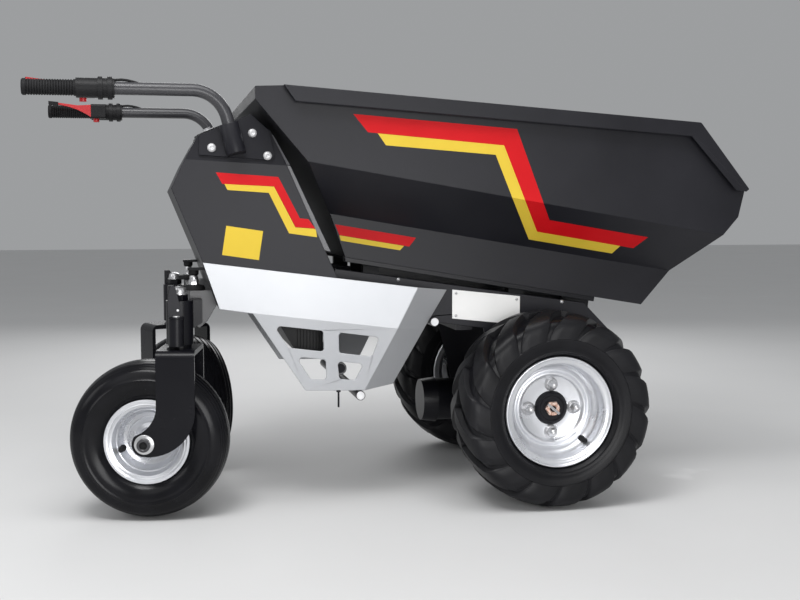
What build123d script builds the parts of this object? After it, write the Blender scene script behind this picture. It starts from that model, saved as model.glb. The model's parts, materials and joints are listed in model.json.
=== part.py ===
"""Walk-behind battery dumper: tipping tub over two driven wheels, two swivel casters and two handles.

Forward is +X and up is +Z. The origin is on the ground under the middle of the overall box.
Lengthwise sketch values are measured forward from the drive axle. The right-hand side is -Y.
"""

import os
from math import cos, hypot, radians, sin, tan

from build123d import *

os.makedirs("parts", exist_ok=True)

# Gaps
FIT = 0.3  # gap at pins, bores and rest seats
SLIP = 0.2  # gap between a sleeve and the tube it holds

# Drive wheels
TYRE_D = 410.0
TYRE_W = 165.0
TRACK = 630.0
RIM_D = 230.0
RIM_W = 140.0
RIM_T = 4.0
DISC_OUT = 11.0  # outer face of the wheel disc, outboard of the wheel's middle
DISC_T = 5.0
STUD_PCD = 100.0
STUD_R = 6.0
SPINDLE_R = 17.0
HUB_CAP = 6.0  # hub's end outboard of the disc
HUB_END_T = 14.0
HUB_R = 34.0
TREAD_COUNT = 15  # bars on each side of the tread
TREAD_H = 14.0
TREAD_BAR = 34.0
TREAD_END = 52.0
TREAD_LEAD = 80.0
TREAD_PAST = 4.0
TREAD_BEVEL = 12.0
TREAD_STEP = 4.0  # bars stand proud of the sidewall by this
TYRE_GAP = 10.0  # tyre's inner side to the chassis and the tub's lower sides

# Casters
CASTER_D = 320.0
CASTER_W = 122.0
CASTER_IN = 30.0  # swivel axes inboard of the side plates
WHEELBASE = 762.0  # drive axle to swivel axis
TRAIL = 62.0
CASTER_RIM_D = 170.0
CASTER_RIM_W = 100.0
CASTER_HUB_R = 22.0
CASTER_AXLE_R = 9.0
FORK_GAP = 5.5  # tyre to fork leg
FORK_T = 8.0
FORK_BEND = 16.0
FORK_W = 76.0
FORK_LEAD = 37.5  # fork leg's front edge ahead of the swivel axis
FORK_EYE_R = 25.0
CROWN_GAP = 14.0
CROWN_T = 10.0
RIGHT_TURN = -9.6  # swivel angle at which each caster stands
LEFT_TURN = 112.0
KINGPIN_R = 12.5
BOSS_H = 6.0
HEAD_R = 27.0
HEAD_H = 88.0
LOCK_R = 15.0
LOCK_H = 57.0

# Chassis rails
RAIL_T = 5.0
RAIL_FLANGE = 40.0
RAIL_KICK = 322.0  # where the rails kick up, ahead of the swivel axis
RAIL_TOP_Z = 496.0
RAIL_FALL = 8.3  # degrees, nose down
RAIL_KNEE_X = 110.0
RAIL_NOSE_X = 172.0
RAIL_NOSE_DROP = 63.0
RAIL_DEPTH = 84.0
AXLE_TUBE_R = 34.0
GEARCASE_R = 78.0
GEARCASE_W = 110.0
MOTOR_R = 48.0
MOTOR_L = 130.0
MOTOR_DROP = 28.0
CROSS_R = 12.0
SIGN_L = 151.0
SIGN_H = 62.0
SIGN_T = 2.0

# Belly side plates
PLATE_OUT = 64.5  # side plates outboard of the rails
PLATE_T = 4.0
REAR_SET = 46.0  # rear plate's top edge ahead of the swivel axis
PLATE_REAR_Z = 515.0
PLATE_LOW_Z = 421.0
PLATE_FALL = 0.1276  # drop of the top edge for each millimetre forward
PLATE_TUCK = 0.177  # lower facet leans in by this for each millimetre down
WINDOW_R = 7.0
ROD_R = 10.0
PEG_IN = 40.0  # front peg, inboard and outboard of a rail's face
PEG_OUT = 21.0
REAR_PLATE_T = 5.0

# Console
COVER_T = 3.0
CREASE_RISE = 204.0  # the sides lean in above a crease that falls to the front
CREASE_FALL = 0.055
CONSOLE_LEAN = 10.0  # degrees
BATTERY_H = 150.0
HANDLE_PLATE_T = 5.0
SOCKET_R = 17.0
SOCKET_SINK = 8.0
SOCKET_H = 64.0
TUBE_R = 12.5
SOCKET_RISE = 70.0  # socket's top above the crease
BEND_R = 70.0
HANDLE_RISE = 64.0  # handle's straight run above the socket's top
GRIP_R = 16.0
GRIP_L = 100.0
GRIP_BACK = 290.0  # grip's end behind the swivel axis
CONTROL_L = 72.0
CONTROL_R = 19.0
SWITCH_L = 34.0
SWITCH_H = 34.0
SWITCH_REACH = 34.0  # switch box, from the handle's middle towards the other handle
LEVER_T = 10.0
LEVER_GAP = 7.0
DASH_T = 8.0
DASH_W = 240.0

# Tub, drawn in its own tilted plane: u forward along the floor, v up from the floor
TUB_SET = 342.5  # tub's lower rear corner ahead of the swivel axis
TUB_Z = 521.0
FLOOR_END = 244.3
TUB_FALL = 9.5  # degrees, nose down
CREASE_LOW = 84.0
CREASE_HIGH = 176.0
FRONT_LEAN = 137.0
FRONT_BEND = 219.0
FRONT_TOP = 280.0
TOP_KNEE_V = 398.5
REAR_TOP_U = -247.0
REAR_TOP_V = 303.0
TUB_FLARE = 110.5  # upper sides outboard of the lower ones
TUB_T = 4.0
RIM_OUT = 20.0
RIM_DEEP = 31.0
RIM_START_U = -194.0
RIM_START_V = 314.0
STRIP_T = 10.0
BEARER_Y = 80.0  # upright bars under the tub, inboard of its lugs
BEARER_T = 8.0
BEARER_H = 44.0
STRIP_W = 30.0
PIVOT_X = 130.0
PIVOT_DROP = 54.0  # below the tub's floor
LUG_Y = 130.0
LUG_T = 14.0
LUG_R = 22.0
PAD_L = 34.0

# Tip actuator
ACT_SET = 362.0  # actuator's base ahead of the swivel axis
ACT_DROP = 82.0  # and below the rails' top
ACT_EYE_X = -40.0
ACT_EYE_DROP = 29.5  # below the tub's floor
ACT_BARREL_R = 22.0
ACT_BARREL_SHARE = 0.7  # of the closed length from pin to pin
ACT_ROD_R = 11.0
ACT_EYE_R = 19.0
ACT_EYE_W = 26.0

# Derived places
AXLE_Z = TYRE_D / 2
WHEEL_Y = TRACK / 2
RAIL_Y = WHEEL_Y - TYRE_W / 2 - TYRE_GAP
PLATE_Y = RAIL_Y + PLATE_OUT
CASTER_Y = PLATE_Y - CASTER_IN
lower_y = RAIL_Y - 1.0
SIDE_TOP_Y = lower_y + TUB_FLARE
CASTER_Z = CASTER_D / 2
SWIVEL_X = -WHEELBASE
TUB_C = cos(radians(TUB_FALL))
TUB_S = sin(radians(TUB_FALL))


def aft(d):
    """Lengthwise place a distance ahead of the casters' swivel axis."""
    return SWIVEL_X + d


RAIL_TOP_X = aft(RAIL_KICK)
PLATE_REAR_X = aft(REAR_SET)
GRIP_END = aft(-GRIP_BACK)
TUB_X = aft(TUB_SET)
FLOOR_L = (FLOOR_END - TUB_X) / TUB_C


def floor_z(x):
    return TUB_Z - (x - TUB_X) * tan(radians(TUB_FALL))


def rail_top(x):
    return RAIL_TOP_Z - (x - RAIL_TOP_X) * tan(radians(RAIL_FALL))


PIVOT_Z = floor_z(PIVOT_X) - PIVOT_DROP
ACT_BASE_X = aft(ACT_SET)
ACT_BASE_Z = rail_top(ACT_BASE_X) - ACT_DROP
ACT_EYE_Z = floor_z(ACT_EYE_X) - ACT_EYE_DROP


def tub_xz(u, v):
    return (TUB_X + u * TUB_C + v * TUB_S, TUB_Z - u * TUB_S + v * TUB_C)


def plate_top(x):
    return PLATE_REAR_Z - (x - PLATE_REAR_X) * PLATE_FALL


TUB_REACH = tub_xz(FLOOR_L + FRONT_LEAN + 4.0, FRONT_TOP)[0]
AXLE_X = (-GRIP_END - TUB_REACH) / 2


def side(y):
    """Upright lengthwise plane; its sketches extrude towards the right-hand side."""
    return Plane(origin=(AXLE_X, y, 0), x_dir=(1, 0, 0), z_dir=(0, -1, 0))


def tub_side(y):
    return Plane(origin=(AXLE_X + TUB_X, y, TUB_Z), x_dir=(TUB_C, 0, -TUB_S), z_dir=(0, -1, 0))


def tub_section(u):
    x, z = tub_xz(u, 0)
    return Plane(origin=(AXLE_X + x, 0, z), x_dir=(0, 1, 0), z_dir=(TUB_C, 0, -TUB_S))


def level(x, y, z):
    return Plane(origin=(AXLE_X + x, y, z))


def across(x, y, z):
    """Plane whose sketch is revolved about the crosswise axis; u is outboard on the right-hand side."""
    return Plane(origin=(AXLE_X + x, y, z), x_dir=(0, -1, 0), z_dir=(-1, 0, 0))


def cross_axis(x, y, z):
    return Axis((AXLE_X + x, y, z), (0, 1, 0))


def outline(*points):
    Polygon(*points, align=None)


def inset(points, gap):
    """Shift an open run of points to its left by a gap, keeping mitred corners."""
    lines = []
    for (x0, y0), (x1, y1) in zip(points, points[1:]):
        run = hypot(x1 - x0, y1 - y0)
        nx = -(y1 - y0) / run * gap
        ny = (x1 - x0) / run * gap
        lines.append(((x0 + nx, y0 + ny), (x1 + nx, y1 + ny)))
    result = [lines[0][0]]
    for (a, b), (c, d) in zip(lines, lines[1:]):
        rx = b[0] - a[0]
        ry = b[1] - a[1]
        sx = d[0] - c[0]
        sy = d[1] - c[1]
        t = ((c[0] - a[0]) * sy - (c[1] - a[1]) * sx) / (rx * sy - ry * sx)
        result.append((a[0] + rx * t, a[1] + ry * t))
    result.append(lines[-1][1])
    return result


def save(piece, name):
    piece.part.label = name
    export_step(piece.part, f"parts/{name}.step")


def left_of(piece):
    """The left-hand twin of a right-hand piece."""
    with BuildPart() as twin:
        mirror(piece.part, about=Plane.XZ)
    return twin


def turned(piece, y, angle):
    """A caster piece swung about its upright swivel axis."""
    with BuildPart() as swung:
        add(piece.part.rotate(Axis((AXLE_X + SWIVEL_X, y, 0), (0, 0, 1)), angle))
    return swung


# Drive wheels
BEAD_Y = RIM_W / 2 - 6.0
BEAD_R = RIM_D / 2 - 13.0
wheel_axis = cross_axis(0, -WHEEL_Y, AXLE_Z)

BULGE_R = RIM_D / 2 + 35.0  # widest part of the sidewall


def tread_ring(radius, width, bevel):
    """Bevelled ring with a flat for each bar, on which the bars' faces stay plane."""
    with BuildPart() as ring:
        with BuildSketch(side(-WHEEL_Y + width / 2)):
            with Locations((0, AXLE_Z)):
                RegularPolygon(radius, 2 * TREAD_COUNT, rotation=90.0 / TREAD_COUNT)
        extrude(amount=width)
        chamfer(ring.edges().filter_by(Axis.Y, reverse=True), bevel)
    return ring


tread_envelope = tread_ring(TYRE_D / 2, TYRE_W, TREAD_BEVEL)
tread_base = tread_ring(TYRE_D / 2 - TREAD_H, TYRE_W - TREAD_STEP, TREAD_H)

with BuildPart() as tyre_carcass:
    add(tread_base.part)
    with BuildSketch(side(-WHEEL_Y + TYRE_W)):
        with Locations((0, AXLE_Z)):
            Circle(BULGE_R)
    extrude(amount=2 * TYRE_W, mode=Mode.SUBTRACT)
    with BuildSketch(across(0, -WHEEL_Y, AXLE_Z)):
        wall = [
            (BEAD_Y - FIT, BEAD_R + FIT),
            (BEAD_Y - FIT, RIM_D / 2 + FIT),
            (TYRE_W / 2 - 5.0, RIM_D / 2 + 14.0),
            (TYRE_W / 2, BULGE_R),
            (TYRE_W / 2 - TREAD_STEP, BULGE_R + 6.0),
        ]
        outline(*wall, *[(-y, r) for y, r in reversed(wall)])
    revolve(axis=wheel_axis)

with BuildPart() as tread_bar:
    edge_y = -TYRE_W / 2 - 1.0
    with BuildSketch(Plane(origin=(AXLE_X, -WHEEL_Y, AXLE_Z + BULGE_R + 3.0))):
        outline(
            (-TREAD_END / 2, edge_y),
            (TREAD_END / 2, edge_y),
            (TREAD_LEAD + TREAD_BAR / 2, TREAD_PAST),
            (TREAD_LEAD - TREAD_BAR / 2, TREAD_PAST),
        )
    extrude(amount=TYRE_D / 2)
    add(tread_envelope.part, mode=Mode.INTERSECT)

with BuildPart() as tread_bar_inner:
    mirror(tread_bar.part, about=Plane.XZ.offset(WHEEL_Y))

tread_pitch = 360.0 / TREAD_COUNT
with BuildPart() as drive_tyre_right:
    add(tyre_carcass.part)
    for k in range(TREAD_COUNT):
        add(tread_bar.part.rotate(wheel_axis, k * tread_pitch))
        add(tread_bar_inner.part.rotate(wheel_axis, (k + 0.5) * tread_pitch))

with BuildPart() as drive_rim_right:
    with BuildSketch(across(0, -WHEEL_Y, AXLE_Z)):
        drop_r = BEAD_R - 14.0
        outline(
            (-RIM_W / 2, RIM_D / 2),
            (-BEAD_Y, RIM_D / 2),
            (-BEAD_Y, BEAD_R),
            (-40.0, BEAD_R),
            (-26.0, drop_r),
            (16.0, drop_r),
            (30.0, BEAD_R),
            (BEAD_Y, BEAD_R),
            (BEAD_Y, RIM_D / 2),
            (RIM_W / 2, RIM_D / 2),
            (RIM_W / 2, RIM_D / 2 - 5.0),
            (BEAD_Y + 2.0, BEAD_R - RIM_T),
            (33.0, BEAD_R - RIM_T),
            (18.0, drop_r - RIM_T),
            (DISC_OUT + 5.0, drop_r - 14.0),
            (DISC_OUT, drop_r - 22.0),
            (DISC_OUT, HUB_R + 2.0),
            (DISC_OUT - DISC_T, HUB_R + 2.0),
            (DISC_OUT - DISC_T, drop_r - 20.0),
            (DISC_OUT - 2.0, drop_r - RIM_T),
            (-28.0, drop_r - RIM_T),
            (-43.0, BEAD_R - RIM_T),
            (-BEAD_Y - 2.0, BEAD_R - RIM_T),
            (-RIM_W / 2, RIM_D / 2 - 5.0),
        )
    revolve(axis=wheel_axis)
    with BuildSketch(side(-WHEEL_Y)):
        with Locations((0, AXLE_Z)):
            with PolarLocations(STUD_PCD / 2, 4):
                Circle(STUD_R + FIT)
    extrude(amount=DISC_OUT + 1.0, mode=Mode.SUBTRACT)

HUB_IN = TYRE_W / 2 - 4.0  # hub's inner end, inboard of the wheel's middle
with BuildPart() as drive_hub_right:
    with BuildSketch(across(0, -WHEEL_Y, AXLE_Z)):
        disc_in = DISC_OUT - DISC_T
        outline(
            (-HUB_IN, SPINDLE_R + FIT),
            (-HUB_IN, HUB_R),
            (disc_in - 10.0, HUB_R),
            (disc_in - 10.0, STUD_PCD / 2 + 14.0),
            (disc_in, STUD_PCD / 2 + 14.0),
            (disc_in, HUB_R + 1.5),
            (DISC_OUT + 1.0, HUB_R + 1.5),
            (DISC_OUT + 4.0, HUB_R),
            (DISC_OUT + HUB_CAP, HUB_R - 2.0),
            (DISC_OUT + HUB_CAP, 0),
            (DISC_OUT + HUB_CAP - HUB_END_T, 0),
            (DISC_OUT + HUB_CAP - HUB_END_T, SPINDLE_R + FIT),
        )
    revolve(axis=wheel_axis)
    with BuildSketch(side(-WHEEL_Y - disc_in)):
        with Locations((0, AXLE_Z)):
            with PolarLocations(STUD_PCD / 2, 4):
                Circle(STUD_R)
    extrude(amount=DISC_T + 12.0)

with BuildPart() as axle_housing:
    spindle_y = WHEEL_Y + DISC_OUT + HUB_CAP - HUB_END_T - FIT
    housing_half = [
        (4.0, GEARCASE_R + 7.0),
        (4.0, GEARCASE_R),
        (GEARCASE_W / 2 - 10.0, GEARCASE_R),
        (GEARCASE_W / 2, GEARCASE_R - 14.0),
        (GEARCASE_W / 2, AXLE_TUBE_R + 16.0),
        (GEARCASE_W / 2 + 40.0, AXLE_TUBE_R),
        (RAIL_Y + 4.0, AXLE_TUBE_R),
        (RAIL_Y + 4.0, SPINDLE_R),
        (spindle_y, SPINDLE_R),
        (spindle_y, 0),
    ]
    with BuildSketch(across(0, 0, AXLE_Z)):
        outline(*housing_half, *[(-y, r) for y, r in reversed(housing_half)])
    revolve(axis=cross_axis(0, 0, AXLE_Z))

with BuildPart() as drive_motor:
    motor_face = Plane(origin=(AXLE_X, 0, AXLE_Z - MOTOR_DROP), x_dir=(0, 1, 0), z_dir=(-1, 0, 0))
    with BuildSketch(motor_face):
        Circle(MOTOR_R)
    extrude(amount=GEARCASE_R + MOTOR_L - 30.0)
    with BuildSketch(motor_face.offset(GEARCASE_R)):
        Rectangle(1.7 * MOTOR_R, 1.7 * MOTOR_R)
    extrude(amount=12.0)
    with BuildSketch(motor_face.offset(GEARCASE_R + MOTOR_L - 34.0)):
        Circle(MOTOR_R + 4.0)
    extrude(amount=34.0, taper=8.0)
    add(axle_housing.part, mode=Mode.SUBTRACT)
    split(bisect_by=Plane(origin=(AXLE_X, 0, 0), z_dir=(-1, 0, 0)), keep=Keep.TOP)

# Belly measures, which the rails and side plates share
CREASE_X = -TYRE_D / 2 - 77.0  # the upright crease, at the top edge
CREASE_RAKE = 0.507
NOSE_RUN = 81.0
BELLY_L = CREASE_X - PLATE_REAR_X
nose_turn = (PLATE_Y - RAIL_Y - FIT - PLATE_T) / (NOSE_RUN + 1.0)


def belly(share):
    """Lengthwise place between the rear plate's top edge and the upright crease."""
    return PLATE_REAR_X + share * BELLY_L


def crease_z(x):
    return 411.0 - (x - belly(0.226)) * 0.1216


def crease_x(z):
    return CREASE_X + (z - 449.0) * CREASE_RAKE


BELLY_Z = 244.0
NOSE_Z = 371.0  # where the lower fold meets the nose
NOSE_LOW_RUN = 71.0
PEG_RISE = 20.0  # up the nose's edge from the fold
nose_low = Vector(crease_x(NOSE_Z) + NOSE_LOW_RUN, NOSE_Z)
nose_top = Vector(CREASE_X + NOSE_RUN, plate_top(CREASE_X + NOSE_RUN))
nose_edge = (nose_top - nose_low).normalized()
peg = nose_low + nose_edge * PEG_RISE + Vector(nose_edge.Y, -nose_edge.X) * (ROD_R + SLIP)

# Chassis rails, each a folded plate that deepens to hold the axle tube
RAIL_TAIL_LOW = 440.0
RAIL_TAIL_HIGH = 504.0


def rear_line(z):
    """Face of the sloping rear plate that the chassis meets, at a height."""
    return PLATE_REAR_X + (PLATE_REAR_Z - z) * 0.34 + REAR_PLATE_T


def rail_low(x):
    """Lower edge of a rail behind the tub."""
    tail_x = rear_line(RAIL_TAIL_LOW)
    fall = (RAIL_TAIL_LOW - RAIL_TOP_Z + RAIL_DEPTH) / (RAIL_TOP_X - tail_x)
    return RAIL_TAIL_LOW - (x - tail_x) * fall


with BuildPart() as rail_right:
    knee_z = rail_top(RAIL_KNEE_X)
    with BuildSketch(side(-RAIL_Y + RAIL_T)):
        outline(
            (rear_line(RAIL_TAIL_HIGH), RAIL_TAIL_HIGH),
            (aft(66.0), plate_top(aft(66.0)) - 4.0),
            (RAIL_TOP_X - 6.0, plate_top(RAIL_TOP_X) - 4.0),
            (RAIL_TOP_X, RAIL_TOP_Z),
            (RAIL_KNEE_X, knee_z),
            (RAIL_NOSE_X, knee_z - RAIL_NOSE_DROP),
            (RAIL_NOSE_X - 40.0, AXLE_Z + 60.0),
            (AXLE_TUBE_R + 34.0, AXLE_Z - AXLE_TUBE_R - 18.0),
            (-AXLE_TUBE_R - 34.0, AXLE_Z - AXLE_TUBE_R - 18.0),
            (-118.0, rail_top(-118.0) - RAIL_DEPTH),
            (-190.0, rail_top(-190.0) - RAIL_DEPTH),
            (RAIL_TOP_X, RAIL_TOP_Z - RAIL_DEPTH),
            (rear_line(RAIL_TAIL_LOW), RAIL_TAIL_LOW),
        )
        with Locations((0, AXLE_Z)):
            Circle(AXLE_TUBE_R + SLIP, mode=Mode.SUBTRACT)
        with Locations((peg.X, peg.Y)):
            Circle(ROD_R + SLIP, mode=Mode.SUBTRACT)
    extrude(amount=RAIL_T)
    with BuildSketch(side(-RAIL_Y + RAIL_FLANGE)):
        outline(
            (RAIL_TOP_X, RAIL_TOP_Z),
            (RAIL_KNEE_X, knee_z),
            (RAIL_KNEE_X, knee_z - RAIL_T),
            (RAIL_TOP_X, RAIL_TOP_Z - RAIL_T),
        )
    extrude(amount=RAIL_FLANGE)

inner_y = RAIL_Y - RAIL_T
with BuildPart() as cross_members:
    with BuildSketch(side(inner_y)):
        with Locations((PIVOT_X, PIVOT_Z), (ACT_BASE_X, ACT_BASE_Z)):
            Circle(CROSS_R)
        with Locations((-160.0, rail_top(-160.0) - RAIL_DEPTH + 4.0)):
            Rectangle(36.0, 28.0)
    extrude(amount=2 * inner_y)

SIGN_X = CREASE_X + NOSE_RUN + 13.0
with BuildPart() as sign_plate:
    with BuildSketch(side(-RAIL_Y)):
        sign_fall = SIGN_L * tan(radians(RAIL_FALL)) * 0.75
        sign_z = rail_top(SIGN_X) - 10.0
        outline(
            (SIGN_X, sign_z),
            (SIGN_X + SIGN_L, sign_z - sign_fall),
            (SIGN_X + SIGN_L, sign_z - sign_fall - SIGN_H),
            (SIGN_X, sign_z - SIGN_H),
        )
    extrude(amount=SIGN_T)


# Belly side plates: a hull of four facets, hollowed crosswise to a sheet
def fold_plane(depth):
    """Plane through three places where the hull's half width is given by depth(x, z)."""
    spots = [(0, 0), (100.0, 0), (0, 100.0)]
    p, q, r = [Vector(AXLE_X + x, -depth(x, z), z) for x, z in spots]
    normal = (q - p).cross(r - p)
    if normal.Y > 0:
        normal = -normal
    return Plane(origin=p, z_dir=normal)


folds = [
    fold_plane(lambda x, z: PLATE_Y - PLATE_TUCK * (crease_z(x) - z)),
    fold_plane(lambda x, z: PLATE_Y - nose_turn * (x - crease_x(z))),
    fold_plane(lambda x, z: PLATE_Y - PLATE_TUCK * (crease_z(x) - z) - nose_turn * (x - crease_x(z))),
]
with BuildPart() as belly_hull:
    with BuildSketch(side(0)):
        outline(
            (PLATE_REAR_X, PLATE_REAR_Z),
            (CREASE_X + NOSE_RUN, plate_top(CREASE_X + NOSE_RUN)),
            (nose_low.X, nose_low.Y),
            (crease_x(BELLY_Z) + 70.0, BELLY_Z + 5.0),
            (crease_x(BELLY_Z), BELLY_Z),
            (belly(0.477), BELLY_Z + 3.0),
            (belly(0.226), crease_z(belly(0.226))),
            (rear_line(PLATE_LOW_Z) - REAR_PLATE_T, PLATE_LOW_Z),
        )
    extrude(amount=PLATE_Y)
    for fold in folds:
        split(bisect_by=fold, keep=Keep.BOTTOM)

WINDOWS = [
    [(0.323, 386), (0.555, 373), (0.562, 329), (0.394, 339)],
    [(0.629, 369), (0.825, 357), (0.793, 316), (0.634, 326)],
    [(0.429, 320), (0.571, 312), (0.576, 269), (0.502, 271)],
    [(0.627, 308), (0.753, 301), (0.714, 267), (0.638, 270)],
]
with BuildPart() as side_plate_right:
    add(belly_hull.part)
    add(belly_hull.part.moved(Location((0, PLATE_T, 0))), mode=Mode.SUBTRACT)
    with BuildSketch(side(-RAIL_Y)) as openings:
        for corners in WINDOWS:
            outline(*[(belly(share), z) for share, z in corners])
        fillet(openings.vertices(), WINDOW_R)
    extrude(amount=PLATE_Y, mode=Mode.SUBTRACT)

with BuildPart() as rear_plate:
    with BuildSketch(side(PLATE_Y - PLATE_T)):
        outline(
            (PLATE_REAR_X, PLATE_REAR_Z),
            (PLATE_REAR_X + REAR_PLATE_T, PLATE_REAR_Z),
            (rear_line(PLATE_LOW_Z), PLATE_LOW_Z),
            (rear_line(PLATE_LOW_Z) - REAR_PLATE_T, PLATE_LOW_Z),
        )
    extrude(amount=2 * (PLATE_Y - PLATE_T))

# A rod between the side plates, one under their lower edges and a peg through each rail at the nose
low_rod_x = belly(0.74)
low_rod_y = PLATE_Y - PLATE_TUCK * (crease_z(low_rod_x) - BELLY_Z) + 4.0
with BuildPart() as tie_rods:
    with BuildSketch(side(0)):
        with Locations((belly(0.643), 292.0)):
            Circle(ROD_R)
    extrude(amount=PLATE_Y)
    add(belly_hull.part.moved(Location((0, PLATE_T, 0))), mode=Mode.INTERSECT)
    with BuildSketch(side(0)):
        with Locations((low_rod_x, BELLY_Z - ROD_R)):
            Circle(ROD_R)
    extrude(amount=low_rod_y)
    with BuildSketch(side(-RAIL_Y + PEG_IN)):
        with Locations((peg.X, peg.Y)):
            Circle(ROD_R)
    extrude(amount=PEG_IN + PEG_OUT)
    mirror(about=Plane.XZ)

with BuildPart() as controller_box:
    box_y = RAIL_Y + 12.5
    box_rear = aft(176.0)
    box_front = aft(294.0)
    with BuildSketch(side(box_y)):
        outline(
            (box_rear, rail_low(box_rear)),
            (box_front, rail_low(box_front)),
            (box_front, 323.0),
            (box_rear + 54.0, 323.0),
            (box_rear, 408.0),
        )
    extrude(amount=2 * box_y)

# Console: two creased sides with folded covers between them
CREASE_Z = PLATE_REAR_Z + CREASE_RISE
console_foot_x = aft(317.0)
CONSOLE = [
    (PLATE_REAR_X, PLATE_REAR_Z),
    (console_foot_x, plate_top(console_foot_x)),
    (aft(185.0), CREASE_Z + 57.0),
    (aft(145.0), CREASE_Z + 91.0),
    (aft(107.0), CREASE_Z + 76.0),
    (aft(39.0), CREASE_Z + 47.0),
    (aft(13.0), CREASE_Z),
    (aft(-14.0), CREASE_Z - 57.0),
]
lean_c = cos(radians(CONSOLE_LEAN))
lean_s = sin(radians(CONSOLE_LEAN))
lean_plane = Plane(
    origin=(AXLE_X + aft(13.0), -PLATE_Y, CREASE_Z),
    z_dir=(CREASE_FALL * lean_s, -lean_c, lean_s),
)
with BuildPart() as console_hull:
    with BuildSketch(side(0)):
        outline(*CONSOLE)
    extrude(amount=PLATE_Y)
    split(bisect_by=lean_plane, keep=Keep.BOTTOM)

cover_y = PLATE_Y - PLATE_T
with BuildPart() as console_core:
    add(console_hull.part.moved(Location((0, PLATE_T, 0))))
    mirror(about=Plane.XZ)

with BuildPart() as console_side_right:
    add(console_hull.part)
    add(console_core.part, mode=Mode.SUBTRACT)

rear_run = [CONSOLE[0], CONSOLE[7], CONSOLE[6], CONSOLE[5], CONSOLE[4], CONSOLE[3]]
with BuildPart() as console_rear_cover:
    with BuildSketch(side(cover_y)):
        outline(*rear_run, *reversed(inset(rear_run, -COVER_T)))
    extrude(amount=2 * cover_y)
    add(console_core.part, mode=Mode.INTERSECT)

front_run = [CONSOLE[3], CONSOLE[2], CONSOLE[1]]
with BuildPart() as console_front_cover:
    with BuildSketch(side(cover_y)):
        outline(*front_run, *reversed(inset(front_run, -COVER_T)))
    extrude(amount=2 * cover_y)
    add(console_core.part, mode=Mode.INTERSECT)
    add(console_rear_cover.part, mode=Mode.SUBTRACT)

with BuildPart() as battery_pack:
    battery_y = RAIL_Y - RAIL_T / 2
    battery_rear = aft(66.0)
    battery_front = aft(222.0)
    with BuildSketch(side(battery_y)):
        outline(
            (battery_rear, plate_top(battery_rear) - 4.0),
            (battery_front, plate_top(battery_front) - 4.0),
            (battery_front, plate_top(battery_front) + BATTERY_H),
            (battery_rear, plate_top(battery_front) + BATTERY_H),
        )
    extrude(amount=2 * battery_y)

dash_foot = Vector(*CONSOLE[5])
dash_rise = Vector(*CONSOLE[4]) - dash_foot
dash_run = [tuple(dash_foot + dash_rise * part)[:2] for part in (0.12, 0.88)]
with BuildPart() as dash_panel:
    with BuildSketch(side(DASH_W / 2)):
        outline(*dash_run, *reversed(inset(dash_run, DASH_T)))
    extrude(amount=DASH_W)

# Handles
handle_y = PLATE_Y + HANDLE_PLATE_T + SOCKET_R - SOCKET_SINK
SOCKET_TOP_Z = CREASE_Z + SOCKET_RISE
socket_foot = Vector(AXLE_X + aft(115.0), -handle_y, SOCKET_TOP_Z - SOCKET_H)
socket_top = Vector(AXLE_X + aft(98.5), -handle_y, SOCKET_TOP_Z)
socket_axis = socket_top - socket_foot
HANDLE_Z = SOCKET_TOP_Z + HANDLE_RISE
with BuildPart() as handle_mount_right:
    with BuildSketch(side(0)) as mount_plate:
        outline(
            (aft(41.0), CREASE_Z + 8.0),
            (aft(187.0), CREASE_Z - 2.0),
            (aft(191.0), CREASE_Z + 7.0),
            (aft(182.0), CREASE_Z + 57.0),
            (aft(145.0), CREASE_Z + 90.0),
            (aft(107.0), CREASE_Z + 75.0),
            (aft(42.0), CREASE_Z + 47.0),
        )
        fillet(mount_plate.vertices(), 5.0)
    extrude(amount=PLATE_Y + 3 * HANDLE_PLATE_T)
    split(bisect_by=lean_plane.offset(HANDLE_PLATE_T), keep=Keep.BOTTOM)
    with BuildSketch(Plane(origin=socket_foot, z_dir=socket_axis)):
        Circle(SOCKET_R)
    extrude(amount=socket_axis.length)
    with BuildSketch(Plane(origin=socket_foot, z_dir=socket_axis)):
        Circle(TUBE_R + SLIP)
    extrude(amount=socket_axis.length, mode=Mode.SUBTRACT)
    split(bisect_by=lean_plane, keep=Keep.TOP)

tube_start = socket_foot + socket_axis.normalized() * 8.0
rise = (HANDLE_Z - tube_start.Z) / socket_axis.normalized().Z
tube_corner = tube_start + socket_axis.normalized() * rise
tube_end = Vector(AXLE_X + GRIP_END + 12.0, -handle_y, HANDLE_Z)
with BuildPart() as handlebar_right:
    with BuildLine() as tube_path:
        FilletPolyline(tube_start, tube_corner, tube_end, radius=BEND_R)
    with BuildSketch(Plane(origin=tube_start, z_dir=socket_axis)):
        Circle(TUBE_R)
    sweep(path=tube_path.wires()[0])


def bar(x):
    """Plane square to the handle's straight run, facing the rear."""
    return Plane(origin=(AXLE_X + x, -handle_y, HANDLE_Z), x_dir=(0, 1, 0), z_dir=(-1, 0, 0))


grip_start = GRIP_END + GRIP_L
with BuildPart() as grip_right:
    with BuildSketch(bar(grip_start)):
        Circle(GRIP_R)
    extrude(amount=GRIP_L)
    with BuildSketch(bar(grip_start)):
        Circle(TUBE_R + SLIP)
    extrude(amount=GRIP_L - 12.0 + SLIP, mode=Mode.SUBTRACT)

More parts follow.
